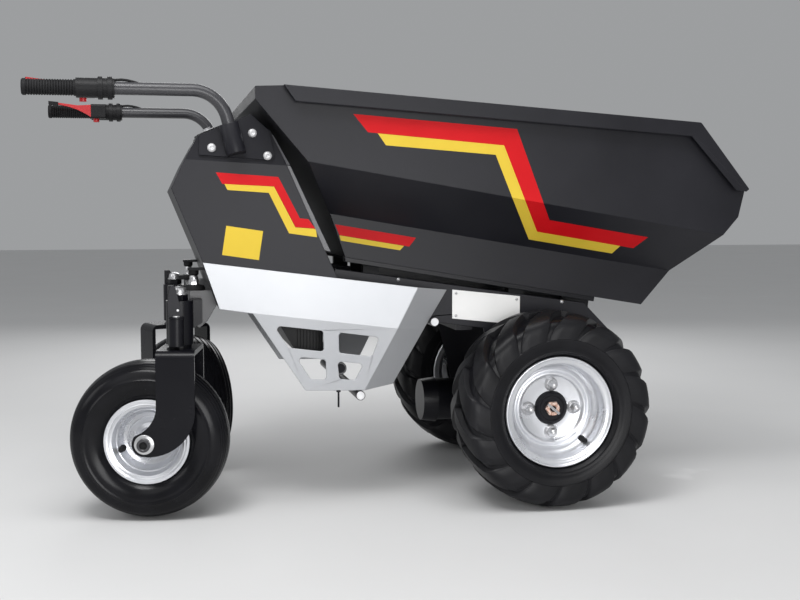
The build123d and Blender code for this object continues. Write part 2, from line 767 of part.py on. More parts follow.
with BuildPart() as control_right:
    with BuildSketch(bar(grip_start + CONTROL_L)):
        Circle(CONTROL_R)
    extrude(amount=CONTROL_L)
    with BuildSketch(bar(grip_start + SWITCH_L)):
        with Locations((SWITCH_REACH / 2 - 2.0, 0)):
            RectangleRounded(SWITCH_REACH + 4.0, SWITCH_H, 5.0)
    extrude(amount=SWITCH_L)
    for ring_x in (grip_start + SWITCH_L + 16.0, grip_start + CONTROL_L - 4.0):
        with BuildSketch(bar(ring_x)):
            Circle(CONTROL_R + 3.0)
        extrude(amount=9.0)
    with BuildSketch(bar(grip_start + CONTROL_L)):
        Circle(TUBE_R + SLIP)
    extrude(amount=CONTROL_L, mode=Mode.SUBTRACT)

with BuildPart() as lever_right:
    lever_y = handle_y - GRIP_R - LEVER_GAP - LEVER_T
    tip_x = GRIP_END + 6.0
    with BuildSketch(side(-lever_y)):
        with BuildLine():
            low_edge = ThreePointArc(
                (grip_start, HANDLE_Z - 14.0),
                (grip_start - 34.0, HANDLE_Z + 4.0),
                (tip_x, HANDLE_Z + 15.0),
            )
            Polyline(
                low_edge @ 1,
                (tip_x, HANDLE_Z + 21.0),
                (grip_start - 30.0, HANDLE_Z + 13.0),
                (grip_start, HANDLE_Z + 15.0),
                low_edge @ 0,
            )
        make_face()
    extrude(amount=LEVER_T)
    with BuildSketch(level(grip_start + 12.0, -handle_y + SWITCH_REACH - 16.0, HANDLE_Z - SWITCH_H / 2)):
        Circle(7.0)
    extrude(amount=-8.0)

# Casters
crown_z = CASTER_D + CROWN_GAP
head_z = crown_z + CROWN_T + BOSS_H + FIT
caster_x = SWIVEL_X - TRAIL
leg_y = CASTER_W / 2 + FORK_GAP
caster_axis = cross_axis(caster_x, -CASTER_Y, CASTER_Z)
caster_plane = across(caster_x, -CASTER_Y, CASTER_Z)
caster_bead_y = CASTER_RIM_W / 2 - 5.0
caster_bead_r = CASTER_RIM_D / 2 - 12.0

with BuildPart() as caster_tyre:
    with BuildSketch(caster_plane):
        with BuildLine():
            caster_bead = Polyline(
                (-caster_bead_y + FIT, CASTER_RIM_D / 2 + FIT),
                (-caster_bead_y + FIT, caster_bead_r + FIT),
                (caster_bead_y - FIT, caster_bead_r + FIT),
                (caster_bead_y - FIT, CASTER_RIM_D / 2 + FIT),
            )
            shoulder = (CASTER_W / 2 - 9.0, CASTER_D / 2 - 14.0)
            bulge_r = CASTER_RIM_D / 2 + 30.0
            caster_wall = ThreePointArc(caster_bead @ 1, (CASTER_W / 2, bulge_r), shoulder)
            tread = ThreePointArc(caster_wall @ 1, (0, CASTER_D / 2), (-shoulder[0], shoulder[1]))
            ThreePointArc(tread @ 1, (-CASTER_W / 2, bulge_r), caster_bead @ 0)
        make_face()
    revolve(axis=caster_axis)

with BuildPart() as caster_rim:
    with BuildSketch(caster_plane):
        hub_end = leg_y - FIT
        web_r = caster_bead_r - 12.0
        outline(
            (-CASTER_RIM_W / 2, CASTER_RIM_D / 2),
            (-caster_bead_y, CASTER_RIM_D / 2),
            (-caster_bead_y, caster_bead_r),
            (caster_bead_y, caster_bead_r),
            (caster_bead_y, CASTER_RIM_D / 2),
            (CASTER_RIM_W / 2, CASTER_RIM_D / 2),
            (CASTER_RIM_W / 2, CASTER_RIM_D / 2 - 5.0),
            (caster_bead_y + 1.0, caster_bead_r - RIM_T),
            (22.0, web_r),
            (10.0, web_r - 8.0),
            (4.0, CASTER_HUB_R + 10.0),
            (8.0, CASTER_HUB_R),
            (hub_end, CASTER_HUB_R - 2.0),
            (hub_end, CASTER_AXLE_R + FIT),
            (-hub_end, CASTER_AXLE_R + FIT),
            (-hub_end, CASTER_HUB_R - 2.0),
            (-8.0, CASTER_HUB_R),
            (-4.0, CASTER_HUB_R + 10.0),
            (-10.0, web_r - 8.0),
            (-22.0, web_r),
            (-caster_bead_y - 1.0, caster_bead_r - RIM_T),
            (-CASTER_RIM_W / 2, CASTER_RIM_D / 2 - 5.0),
        )
    revolve(axis=caster_axis)

with BuildPart() as caster_fork:
    leg_front = SWIVEL_X + FORK_LEAD
    leg_back = leg_front - FORK_W
    eye_low = CASTER_Z - FORK_EYE_R
    with BuildSketch(side(-CASTER_Y + leg_y + FORK_T)):
        with BuildLine():
            back_edge = Line((leg_back, crown_z + CROWN_T), (leg_back, CASTER_Z + 68.0))
            eye_top = (caster_x - FORK_EYE_R * 0.75, CASTER_Z + FORK_EYE_R * 0.66)
            hollow = ThreePointArc(back_edge @ 1, (caster_x + 11.0, CASTER_Z + 38.0), eye_top)
            eye = ThreePointArc(hollow @ 1, (caster_x - FORK_EYE_R, CASTER_Z), (caster_x, eye_low))
            heel = ThreePointArc(eye @ 1, (caster_x + 62.0, CASTER_Z - 8.0), (leg_front, CASTER_Z + 62.0))
            Polyline(heel @ 1, (leg_front, crown_z + CROWN_T), back_edge @ 0)
        make_face()
    extrude(amount=2 * (leg_y + FORK_T))
    fillet(caster_fork.edges().filter_by(Axis.X).group_by(Axis.Z)[-1], FORK_BEND)
    with BuildSketch(side(-CASTER_Y + leg_y)):
        with Locations((SWIVEL_X, crown_z / 2)):
            Rectangle(4 * FORK_W, crown_z)
    extrude(amount=2 * leg_y, mode=Mode.SUBTRACT)
    with BuildSketch(side(-CASTER_Y + leg_y + FORK_T + 10.0)):
        with Locations((caster_x, CASTER_Z)):
            Circle(CASTER_AXLE_R)
    extrude(amount=2 * (leg_y + FORK_T + 10.0))
    with BuildSketch(level(SWIVEL_X, -CASTER_Y, crown_z + CROWN_T)):
        Circle(HEAD_R - 4.0)
    extrude(amount=BOSS_H)
    with BuildSketch(level(SWIVEL_X, -CASTER_Y, crown_z + CROWN_T)):
        Circle(KINGPIN_R)
    extrude(amount=BOSS_H + HEAD_H + 18.0)
    with BuildSketch(level(SWIVEL_X, -CASTER_Y, head_z + HEAD_H + FIT)):
        RegularPolygon(17.0, 6)
    extrude(amount=12.0)

beam_x = SWIVEL_X + 21.0
BEAM_Y = CASTER_Y - 52.0
beam_top = head_z + HEAD_H + 16.0
with BuildPart() as caster_beam:
    with BuildSketch(side(BEAM_Y)):
        outline(
            (beam_x, beam_top),
            (rear_line(beam_top) - REAR_PLATE_T, beam_top),
            (rear_line(PLATE_LOW_Z + 3.0) - REAR_PLATE_T, PLATE_LOW_Z + 3.0),
            (beam_x + 36.0, 390.0),
            (beam_x + 20.0, 376.0),
            (beam_x, 390.0),
        )
    extrude(amount=2 * BEAM_Y)

with BuildPart() as caster_head_right:
    with BuildSketch(level(SWIVEL_X, -CASTER_Y, head_z)):
        Circle(HEAD_R)
    extrude(amount=HEAD_H)
    with BuildSketch(level(SWIVEL_X - 8.0, -CASTER_Y - HEAD_R - LOCK_R + 3.0, head_z)):
        Circle(LOCK_R)
        with Locations((0, LOCK_R)):
            Rectangle(2 * LOCK_R, 2 * LOCK_R)
    extrude(amount=LOCK_H)
    with BuildSketch(side(-BEAM_Y)):
        outline(
            (SWIVEL_X, head_z + HEAD_H),
            (beam_x + 24.0, head_z + HEAD_H),
            (beam_x + 24.0, 392.0),
            (SWIVEL_X, head_z + 16.0),
        )
    extrude(amount=CASTER_Y - BEAM_Y)
    with BuildSketch(side(-CASTER_Y - HEAD_R + 3.0)):
        with Locations((aft(-18.0), head_z + 80.0)):
            Rectangle(12.0, 80.0)
    extrude(amount=6.0)
    with BuildSketch(level(SWIVEL_X, -CASTER_Y, head_z)):
        Circle(KINGPIN_R + FIT)
    extrude(amount=HEAD_H, mode=Mode.SUBTRACT)

# Tub, five panels that meet edge to edge
OUTLINE = [
    (REAR_TOP_U, REAR_TOP_V),
    (-243.0, 278.0),
    (-118.0, CREASE_HIGH - 3.0),
    (-43.0, CREASE_LOW - 5.0),
    (0, 0),
    (FLOOR_L, 0),
    (FLOOR_L + FRONT_LEAN, FRONT_BEND),
    (FLOOR_L + FRONT_LEAN + 4.0, FRONT_TOP),
]
knee = (FLOOR_L + 6.0, TOP_KNEE_V)
rim_start = (RIM_START_U, RIM_START_V)
section = [(-SIDE_TOP_Y, TOP_KNEE_V), (-SIDE_TOP_Y, CREASE_HIGH), (-lower_y, CREASE_LOW), (-lower_y, 0)]
inner_section = inset([*section, (lower_y, 0)], TUB_T)[:3]
inner_section = [(inner_section[0][0], TOP_KNEE_V + 1.0), *inner_section[1:], (-lower_y + TUB_T, 0)]
inner_right = [(y, v) for y, v in reversed(inner_section)]
inner_left = [(-y, v) for y, v in inner_section]
section_start = REAR_TOP_U - 20.0
section_run = FLOOR_L + FRONT_LEAN - section_start + 20.0

with BuildPart() as tub_side_right:
    with BuildSketch(tub_section(section_start)):
        outline(*section, *inner_right)
    extrude(amount=section_run)
    with BuildSketch(tub_side(0)):
        outline(*OUTLINE, knee, rim_start)
    extrude(amount=SIDE_TOP_Y, mode=Mode.INTERSECT)

inner_run = inset(OUTLINE, TUB_T)


def tub_wall(first, last):
    """The crosswise panel between two corners of the tub's outline, inside the two sides."""
    with BuildPart() as wall:
        with BuildSketch(tub_side(SIDE_TOP_Y)):
            outline(*OUTLINE[first : last + 1], *reversed(inner_run[first : last + 1]))
        extrude(amount=2 * SIDE_TOP_Y)
        with BuildSketch(tub_section(section_start)):
            outline(*inner_left, *inner_right)
        extrude(amount=section_run, mode=Mode.INTERSECT)
    return wall


tub_rear_wall = tub_wall(0, 4)
tub_floor = tub_wall(4, 5)
tub_front = tub_wall(5, 7)

rim_run = [rim_start, knee, (FLOOR_L + FRONT_LEAN + 4.0, FRONT_TOP)]
rim_low = inset(rim_run, -RIM_DEEP)
rim_low[0] = (rim_low[0][0] + 26.0, rim_low[0][1] + 2.0)
rim_low[2] = (rim_low[2][0] + 14.0, rim_low[2][1] + 16.0)
with BuildPart() as tub_rim_right:
    with BuildSketch(tub_side(-SIDE_TOP_Y)):
        outline(*rim_run, *reversed(rim_low))
    extrude(amount=RIM_OUT)
    with BuildSketch(tub_side(-SIDE_TOP_Y)):
        outline(*inset(rim_run, -TUB_T), *reversed(inset(rim_run, -2 * RIM_DEEP)))
    extrude(amount=RIM_OUT - TUB_T, mode=Mode.SUBTRACT)

with BuildPart() as tub_rim:
    add(tub_rim_right.part)
    mirror(tub_rim_right.part, about=Plane.XZ)

strip_end = (PIVOT_X + 5.0 - TUB_X) / TUB_C
bearer_rear = TUB_X + 62.0
bearer_front = PIVOT_X - 70.0
with BuildPart() as tub_subframe:
    with BuildSketch(tub_side(-lower_y + STRIP_W)):
        outline((0, 0), (strip_end, 0), (strip_end, -STRIP_T), (2.0, -STRIP_T))
    extrude(amount=STRIP_W)
    with BuildSketch(side(-LUG_Y + LUG_T)):
        outline(
            (PIVOT_X - LUG_R - 20.0, floor_z(PIVOT_X - LUG_R - 20.0)),
            (PIVOT_X + LUG_R + 6.0, floor_z(PIVOT_X + LUG_R + 6.0)),
            (PIVOT_X + LUG_R, PIVOT_Z),
            (PIVOT_X - LUG_R, PIVOT_Z),
        )
        with Locations((PIVOT_X, PIVOT_Z)):
            Circle(LUG_R)
            Circle(CROSS_R + FIT, mode=Mode.SUBTRACT)
    extrude(amount=LUG_T)
    with BuildSketch(side(-BEARER_Y)):
        outline(
            (bearer_rear, floor_z(bearer_rear)),
            (bearer_front, floor_z(bearer_front)),
            (bearer_front, floor_z(bearer_front) - BEARER_H / 2),
            (bearer_front - BEARER_H, floor_z(bearer_front) - BEARER_H),
            (bearer_rear, floor_z(bearer_rear) - BEARER_H),
        )
    extrude(amount=BEARER_T)
    with BuildSketch(side(-ACT_EYE_W / 2 - FIT)):
        outline(
            (ACT_EYE_X - ACT_EYE_R - 6.0, floor_z(ACT_EYE_X - ACT_EYE_R - 6.0)),
            (ACT_EYE_X + ACT_EYE_R + 6.0, floor_z(ACT_EYE_X + ACT_EYE_R + 6.0)),
            (ACT_EYE_X + 14.0, ACT_EYE_Z - 12.0),
            (ACT_EYE_X - 14.0, ACT_EYE_Z - 12.0),
        )
    extrude(amount=8.0)
    mirror(about=Plane.XZ)

with BuildPart() as rest_pads_right:
    with BuildSketch(side(-RAIL_Y + RAIL_FLANGE - 8.0)):
        for x in (aft(382.0), -60.0):
            outline(
                (x, rail_top(x)),
                (x + PAD_L, rail_top(x + PAD_L)),
                (x + PAD_L, floor_z(x + PAD_L) - STRIP_T / TUB_C - FIT),
                (x, floor_z(x) - STRIP_T / TUB_C - FIT),
            )
    extrude(amount=24.0)

with BuildPart() as rest_pads:
    add(rest_pads_right.part)
    mirror(rest_pads_right.part, about=Plane.XZ)

# Tip actuator, under the tub on the centre line
act_dir = Vector(ACT_EYE_X - ACT_BASE_X, 0, ACT_EYE_Z - ACT_BASE_Z)
act_run = act_dir.length
ACT_BARREL_L = ACT_BARREL_SHARE * act_run
act_base = Vector(AXLE_X + ACT_BASE_X, 0, ACT_BASE_Z)
act_plane = Plane(origin=act_base, x_dir=(0, 1, 0), z_dir=act_dir)
with BuildPart() as actuator_barrel:
    with BuildSketch(side(ACT_EYE_W / 2)):
        with Locations((ACT_BASE_X, ACT_BASE_Z)):
            Circle(ACT_EYE_R + 3.0)
    extrude(amount=ACT_EYE_W)
    with BuildSketch(act_plane):
        Circle(ACT_BARREL_R)
    extrude(amount=ACT_BARREL_L)
    with BuildSketch(act_plane.offset(30.0)):
        Circle(ACT_ROD_R + FIT)
    extrude(amount=ACT_BARREL_L, mode=Mode.SUBTRACT)
    with BuildSketch(side(ACT_BARREL_R)):
        with Locations((ACT_BASE_X, ACT_BASE_Z)):
            Circle(CROSS_R + FIT)
    extrude(amount=2 * ACT_BARREL_R, mode=Mode.SUBTRACT)

with BuildPart() as actuator_rod:
    with BuildSketch(act_plane.offset(34.0)):
        Circle(ACT_ROD_R)
    extrude(amount=act_run - 34.0)
    with BuildSketch(side(ACT_EYE_W / 2)):
        with Locations((ACT_EYE_X, ACT_EYE_Z)):
            Circle(ACT_EYE_R)
    extrude(amount=ACT_EYE_W)

pieces = {
    "drive_tyre": drive_tyre_right,
    "drive_rim": drive_rim_right,
    "drive_hub": drive_hub_right,
    "rail": rail_right,
    "side_plate": side_plate_right,
    "console_side": console_side_right,
    "handle_mount": handle_mount_right,
    "handlebar": handlebar_right,
    "caster_head": caster_head_right,
    "tub_side": tub_side_right,
}
for stem, piece in pieces.items():
    save(piece, f"{stem}_right")
    save(left_of(piece), f"{stem}_left")

casters = {"caster_tyre": caster_tyre, "caster_rim": caster_rim, "caster_fork": caster_fork}
for stem, piece in casters.items():
    save(turned(piece, -CASTER_Y, RIGHT_TURN), f"{stem}_right")
    save(turned(left_of(piece), CASTER_Y, LEFT_TURN), f"{stem}_left")

with BuildPart() as grips:
    add(grip_right.part)
    mirror(grip_right.part, about=Plane.XZ)

with BuildPart() as controls:
    add(control_right.part)
    mirror(control_right.part, about=Plane.XZ)

with BuildPart() as levers:
    add(lever_right.part)
    mirror(lever_right.part, about=Plane.XZ)

singles = {
    "axle_housing": axle_housing,
    "drive_motor": drive_motor,
    "cross_members": cross_members,
    "sign_plate": sign_plate,
    "rear_plate": rear_plate,
    "tie_rods": tie_rods,
    "controller_box": controller_box,
    "console_rear_cover": console_rear_cover,
    "console_front_cover": console_front_cover,
    "battery_pack": battery_pack,
    "dash_panel": dash_panel,
    "grips": grips,
    "controls": controls,
    "levers": levers,
    "caster_beam": caster_beam,
    "tub_rear_wall": tub_rear_wall,
    "tub_floor": tub_floor,
    "tub_front": tub_front,
    "tub_rim": tub_rim,
    "tub_subframe": tub_subframe,
    "rest_pads": rest_pads,
    "actuator_barrel": actuator_barrel,
    "actuator_rod": actuator_rod,
}
for stem, piece in singles.items():
    save(piece, stem)
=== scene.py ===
"""Looks for a walk-behind battery dumper: paint, stripes, tyres, fasteners and controls on the CAD frame."""

import json
from math import asin, cos, hypot, pi, radians, sin

import bmesh
import bpy
from mathutils import Matrix, Vector


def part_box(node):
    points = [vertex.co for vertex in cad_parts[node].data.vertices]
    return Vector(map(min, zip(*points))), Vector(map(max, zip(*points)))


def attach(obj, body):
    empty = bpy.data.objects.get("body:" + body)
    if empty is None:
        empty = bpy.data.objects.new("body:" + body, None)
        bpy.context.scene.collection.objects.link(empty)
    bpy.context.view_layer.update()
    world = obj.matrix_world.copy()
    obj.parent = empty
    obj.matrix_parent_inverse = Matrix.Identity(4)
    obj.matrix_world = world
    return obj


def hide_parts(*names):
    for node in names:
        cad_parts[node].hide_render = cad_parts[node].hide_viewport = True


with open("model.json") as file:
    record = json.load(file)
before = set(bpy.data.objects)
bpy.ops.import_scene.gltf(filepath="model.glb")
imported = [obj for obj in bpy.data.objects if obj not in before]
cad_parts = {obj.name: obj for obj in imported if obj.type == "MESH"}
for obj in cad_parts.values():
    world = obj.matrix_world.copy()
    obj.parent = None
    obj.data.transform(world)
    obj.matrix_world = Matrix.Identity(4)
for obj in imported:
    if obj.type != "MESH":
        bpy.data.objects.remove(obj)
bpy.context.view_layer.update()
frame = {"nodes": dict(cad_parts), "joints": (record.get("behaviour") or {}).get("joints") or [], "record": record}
nodes = frame["nodes"]
joints = {j["name"]: j for j in frame["joints"]}
scene = bpy.context.scene

MM = 0.001
AXLE = Vector(joints["drive_spin_right"]["pos_m"])  # right-hand drive wheel's centre
SWIVEL = Vector(joints["caster_swivel_right"]["pos_m"])
SIDES = {"right": -1.0, "left": 1.0}
UP = (0, 0, 1)


def at(x, y, z):
    """A point in the frame from millimetres forward of the drive axle, to the left and up."""
    return Vector((AXLE.x + x * MM, y * MM, z * MM))


def aft(x, y, z):
    """A point in the frame from millimetres forward of the caster swivel, to the left and up."""
    return Vector((SWIVEL.x + x * MM, y * MM, z * MM))


def aft_frame(x, y, z):
    """Upright frame with local X forward at a place given from the caster swivel."""
    return Matrix.Translation(aft(x, y, z))


AXLE_FRAME = Matrix.Translation(at(0.0, 0.0, 0.0))


# Camera and light
CAMERA_PLACE = (-814.2, -2655.5, 626.5)
CAMERA_LENS, CAMERA_DOWN, CAMERA_YAW = 52.956, 4.55, 11.89
SKY, SKY_STRENGTH = (0.93, 0.95, 0.97, 1.0), 0.36

cam_data = bpy.data.cameras.new("photo_camera")
cam_data.sensor_width = 36.0
cam_data.lens = CAMERA_LENS
cam_data.clip_end = 50.0
camera = bpy.data.objects.new("photo_camera", cam_data)
camera.location = at(*CAMERA_PLACE)
camera.rotation_euler = (radians(90.0 - CAMERA_DOWN), 0.0, radians(-CAMERA_YAW))
scene.collection.objects.link(camera)
scene.camera = camera
scene.view_settings.view_transform = "Standard"

world = bpy.data.worlds.new("studio")
world.use_nodes = True
world.node_tree.nodes["Background"].inputs["Color"].default_value = SKY
world.node_tree.nodes["Background"].inputs["Strength"].default_value = SKY_STRENGTH
scene.world = world


def area_light(name, place, target, size, power):
    data = bpy.data.lights.new(name, "AREA")
    data.shape = "RECTANGLE"
    data.size, data.size_y = size
    data.energy = power
    lamp = bpy.data.objects.new(name, data)
    lamp.location = place
    lamp.rotation_euler = (Vector(target) - Vector(place)).to_track_quat("-Z", "Y").to_euler()
    scene.collection.objects.link(lamp)


area_light("key_left", (-1.9, -2.6, 2.3), (0.0, 0.0, 0.45), (1.8, 1.8), 10.0)
area_light("front_box", (0.15, -3.5, 0.6), (0.0, 0.0, 0.5), (1.8, 1.1), 42.0)
area_light("fill_right", (2.6, -2.2, 1.5), (0.1, 0.0, 0.4), (1.6, 1.6), 3.0)
area_light("side_left", (-3.0, -0.9, 1.5), (0.2, -0.2, 0.25), (1.2, 1.2), 10.0)
area_light("top", (-0.1, -1.25, 3.0), (0.0, -0.2, 0.2), (2.2, 1.6), 38.0)
area_light("top_left", (-1.0, -1.45, 2.5), (-0.45, -0.3, 0.25), (1.0, 0.7), 26.0)
area_light("back", (0.4, 2.8, 1.8), (0.0, 0.0, 0.4), (2.2, 1.6), 30.0)


# Materials

def shader(name, color, rough, metallic=0.0, **extra):
    m = bpy.data.materials.new(name)
    m.use_nodes = True
    b = m.node_tree.nodes["Principled BSDF"]
    b.inputs["Base Color"].default_value = (*color, 1.0)
    b.inputs["Roughness"].default_value = rough
    b.inputs["Metallic"].default_value = metallic
    for key, value in extra.items():
        b.inputs[key.replace("_", " ")].default_value = value
    return m, b


ROUGH_SPAN = 0.08


def speckled(name, dark, light, rough, metallic=0.0, grain=900.0, bump=0.03, patch=6.0, **extra):
    """Paint or rubber with broad colour drift, worn spots, fine grain in the bump and uneven gloss."""
    m, b = shader(name, light, rough, metallic, **extra)
    t = m.node_tree
    coord = t.nodes.new("ShaderNodeTexCoord")
    broad = t.nodes.new("ShaderNodeTexNoise")
    broad.inputs["Scale"].default_value = patch
    broad.inputs["Detail"].default_value = 5.0
    ramp = t.nodes.new("ShaderNodeValToRGB")
    ramp.color_ramp.elements[0].position = 0.3
    ramp.color_ramp.elements[0].color = (*dark, 1.0)
    ramp.color_ramp.elements[1].position = 0.7
    ramp.color_ramp.elements[1].color = (*light, 1.0)
    worn = ramp.color_ramp.elements.new(0.78)
    worn.color = (*[min(c * 1.25 + 0.008, 0.9) for c in light], 1.0)
    gloss = t.nodes.new("ShaderNodeMapRange")
    gloss.inputs["To Min"].default_value = rough - ROUGH_SPAN / 2
    gloss.inputs["To Max"].default_value = rough + ROUGH_SPAN / 2
    fine = t.nodes.new("ShaderNodeTexNoise")
    fine.inputs["Scale"].default_value = grain
    fine.inputs["Detail"].default_value = 2.0
    height = t.nodes.new("ShaderNodeBump")
    height.inputs["Strength"].default_value = bump
    height.inputs["Distance"].default_value = 0.001
    link = t.links.new
    link(coord.outputs["Object"], broad.inputs["Vector"])
    link(coord.outputs["Object"], fine.inputs["Vector"])
    link(broad.outputs["Fac"], ramp.inputs["Fac"])
    link(broad.outputs["Fac"], gloss.inputs["Value"])
    link(ramp.outputs["Color"], b.inputs["Base Color"])
    link(gloss.outputs["Result"], b.inputs["Roughness"])
    link(fine.outputs["Fac"], height.inputs["Height"])
    link(height.outputs["Normal"], b.inputs["Normal"])
    return m


SATIN = {"Specular_IOR_Level": 0.2}
DULL = {"Specular_IOR_Level": 0.18}
TYRE = {"patch": 14.0, "grain": 500.0, **DULL}
FILM = {"patch": 8.0, "bump": 0.02, "Specular_IOR_Level": 0.1}
PLATED = {"patch": 60.0}

# Coats: (dark colour), (light colour), roughness
charcoal = speckled("charcoal_coat", (0.011, 0.011, 0.014), (0.016, 0.016, 0.020), 0.38, bump=0.08, **SATIN)
fork_black = speckled("fork_coat", (0.004, 0.004, 0.006), (0.007, 0.007, 0.009), 0.27, bump=0.06, **DULL)
frame_black = speckled("frame_coat", (0.005, 0.005, 0.007), (0.009, 0.009, 0.012), 0.32, bump=0.08, **SATIN)
silver = speckled("skirt_coat", (0.43, 0.44, 0.46), (0.53, 0.54, 0.56), 0.36, metallic=0.25, patch=3.0)
rim_silver = speckled("rim_coat", (0.62, 0.63, 0.66), (0.78, 0.79, 0.82), 0.28, metallic=0.75, patch=9.0)
tube_grey = speckled("tube_coat", (0.034, 0.034, 0.038), (0.048, 0.048, 0.053), 0.30, bump=0.04)
# Lighter grey for the strip on the console's front edge: a painted highlight, not a coat of its own.
flange_highlight_grey = speckled("flange_painted_highlight", (0.060, 0.060, 0.066), (0.085, 0.085, 0.092), 0.36, bump=0.05)

# Rubber and plastic
rubber = speckled("tyre_rubber", (0.004, 0.004, 0.005), (0.008, 0.008, 0.010), 0.34, bump=0.15, **TYRE)
# The lugs take a lighter copy of the tyre rubber: a painted sheen standing in for the light their faces catch.
lug_painted_sheen_rubber = speckled("lug_painted_sheen_rubber", (0.007, 0.007, 0.008), (0.012, 0.012, 0.014), 0.40, bump=0.15, **TYRE)
gloss_rubber = speckled(
    "caster_rubber", (0.004, 0.004, 0.005), (0.008, 0.008, 0.010), 0.22, bump=0.05, **TYRE,
)
soft_rubber = speckled(
    "grip_rubber", (0.008, 0.008, 0.009), (0.014, 0.014, 0.015), 0.65,
    patch=30.0, bump=0.3, grain=700.0, **SATIN,
)
plastic = speckled(
    "box_plastic", (0.008, 0.008, 0.009), (0.013, 0.013, 0.014), 0.46,
    patch=20.0, bump=0.2, grain=800.0, **SATIN,
)
red_plastic = speckled(
    "lever_plastic", (0.42, 0.010, 0.014), (0.52, 0.014, 0.018), 0.35, patch=30.0, bump=0.04,
)

# Bare and plated metal
steel = speckled("bright_steel", (0.44, 0.44, 0.45), (0.56, 0.56, 0.57), 0.38, 0.6, patch=40.0, bump=0.05)
bolt_white = speckled("bolt_plate", (0.58, 0.58, 0.59), (0.70, 0.70, 0.71), 0.42, 0.35, **PLATED)
chrome = speckled("chrome_plate", (0.56, 0.56, 0.57), (0.68, 0.68, 0.69), 0.30, 0.85, bump=0.02, **PLATED)
copper = speckled("coppery_zinc", (0.46, 0.24, 0.17), (0.78, 0.64, 0.56), 0.32, 0.9, patch=160.0, bump=0.05)

# Plate and films
white_plate = speckled("blank_plate", (0.74, 0.74, 0.73), (0.82, 0.82, 0.81), 0.4, patch=12.0, bump=0.02)
red_vinyl = speckled("stripe_red", (0.50, 0.005, 0.009), (0.57, 0.009, 0.013), 0.45, **FILM)
yellow_vinyl = speckled("stripe_yellow", (0.62, 0.44, 0.040), (0.70, 0.50, 0.052), 0.45, **FILM)

slot_look = {
    "tyre": rubber,
    "rim_silver": rim_silver,
    "charcoal": charcoal,
    "frame_black": frame_black,
    "skirt_silver": silver,
    "rod_steel": steel,
    "motor_black": frame_black,
    "box_black": plastic,
    "tube_grey": tube_grey,
    "rubber_black": soft_rubber,
    "lever_red": red_plastic,
    "sign_white": white_plate,
}
node_look = {
    "rail_right": charcoal,
    "rail_left": charcoal,
    "caster_beam": tube_grey,
    "handle_mount_right": charcoal,
    "handle_mount_left": charcoal,
    "tie_rods": frame_black,
    "caster_fork_right": fork_black,
    "caster_fork_left": fork_black,
}

# Each node's look, and rolled edges on the sheet metal and castings
EDGE_MM = {"tub_rim": 3.0, "side_plate_right": 1.2, "side_plate_left": 1.2, "sign_plate": 0.5, "levers": 1.5}
PLAIN_EDGE_MM = 0.9
for part in frame["record"]["subparts"]:
    name = part["node"]
    mesh = nodes[name].data
    mesh.materials.clear()
    mesh.materials.append(node_look.get(name, slot_look[part["material_slot"]]))
    weld = nodes[name].modifiers.new("weld", "WELD")
    weld.merge_threshold = 1e-5
    bevel = nodes[name].modifiers.new("bevel", "BEVEL")
    bevel.width = EDGE_MM.get(name, PLAIN_EDGE_MM) * MM
    bevel.segments = 2
    bevel.limit_method = "ANGLE"
    bevel.angle_limit = radians(32.0)
    bevel.harden_normals = True
    flat = nodes[name].modifiers.new("flat", "WEIGHTED_NORMAL")
    flat.keep_sharp = True


# Mesh building

class Shape:
    """Collects parts of one piece, in millimetres in their own frames, as one mesh."""

    def __init__(self):
        self.verts, self.faces, self.marks = [], [], []

    def add(self, form, place=Matrix.Identity(4), mark=0):
        """Add a form; mark is the number of its look, or a list with one for each face."""
        verts, faces = form
        base = len(self.verts)
        self.verts += [place @ (Vector(v) * MM) for v in verts]
        self.faces += [[base + i for i in f] for f in faces]
        self.marks += mark if isinstance(mark, list) else [mark] * len(faces)

    def piece(self, name, body, slot, *looks, sharp=35.0):
        mesh = bpy.data.meshes.new(name)
        mesh.from_pydata(self.verts, [], self.faces)
        for look in looks:
            mesh.materials.append(look)
        for polygon, mark in zip(mesh.polygons, self.marks):
            polygon.material_index = mark
        b = bmesh.new()
        b.from_mesh(mesh)
        bmesh.ops.recalc_face_normals(b, faces=b.faces)
        b.to_mesh(mesh)
        b.free()
        mesh.shade_smooth()
        mesh.set_sharp_from_angle(angle=radians(sharp))
        obj = bpy.data.objects.new(name, mesh)
        scene.collection.objects.link(obj)
        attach(obj, body)
        return obj


def lathe(profile, count=48):
    """Surface of revolution about local Z from (radius, height) points; a zero radius closes it."""
    verts, rings, faces = [], [], []
    for r, h in profile:
        if r == 0:
            rings.append([len(verts)])
            verts.append((0.0, 0.0, h))
            continue
        rings.append(list(range(len(verts), len(verts) + count)))
        for k in range(count):
            a = 2 * pi * k / count
            verts.append((r * cos(a), r * sin(a), h))
    for low, high in zip(rings, rings[1:]):
        for k in range(count):
            n = (k + 1) % count
            ring = [low[k % len(low)], low[n % len(low)], high[n % len(high)], high[k % len(high)]]
            faces.append(list(dict.fromkeys(ring)))
    return verts, faces


def walls(n):
    """Side faces between two rings of n points."""
    return [[k, (k + 1) % n, n + (k + 1) % n, n + k] for k in range(n)]


def capped(n):
    """Faces of a closed extrusion of n points."""
    return [*walls(n), list(range(n - 1, -1, -1)), list(range(n, 2 * n))]


def across(outline, low, high):
    """Straight extrusion across the machine of an (x, z) outline."""
    return [(x, y, z) for y in (low, high) for x, z in outline], capped(len(outline))


def prism(outline, low, high):
    """Straight extrusion along local Z of an (x, y) outline."""
    return [(x, y, z) for z in (low, high) for x, y in outline], capped(len(outline))


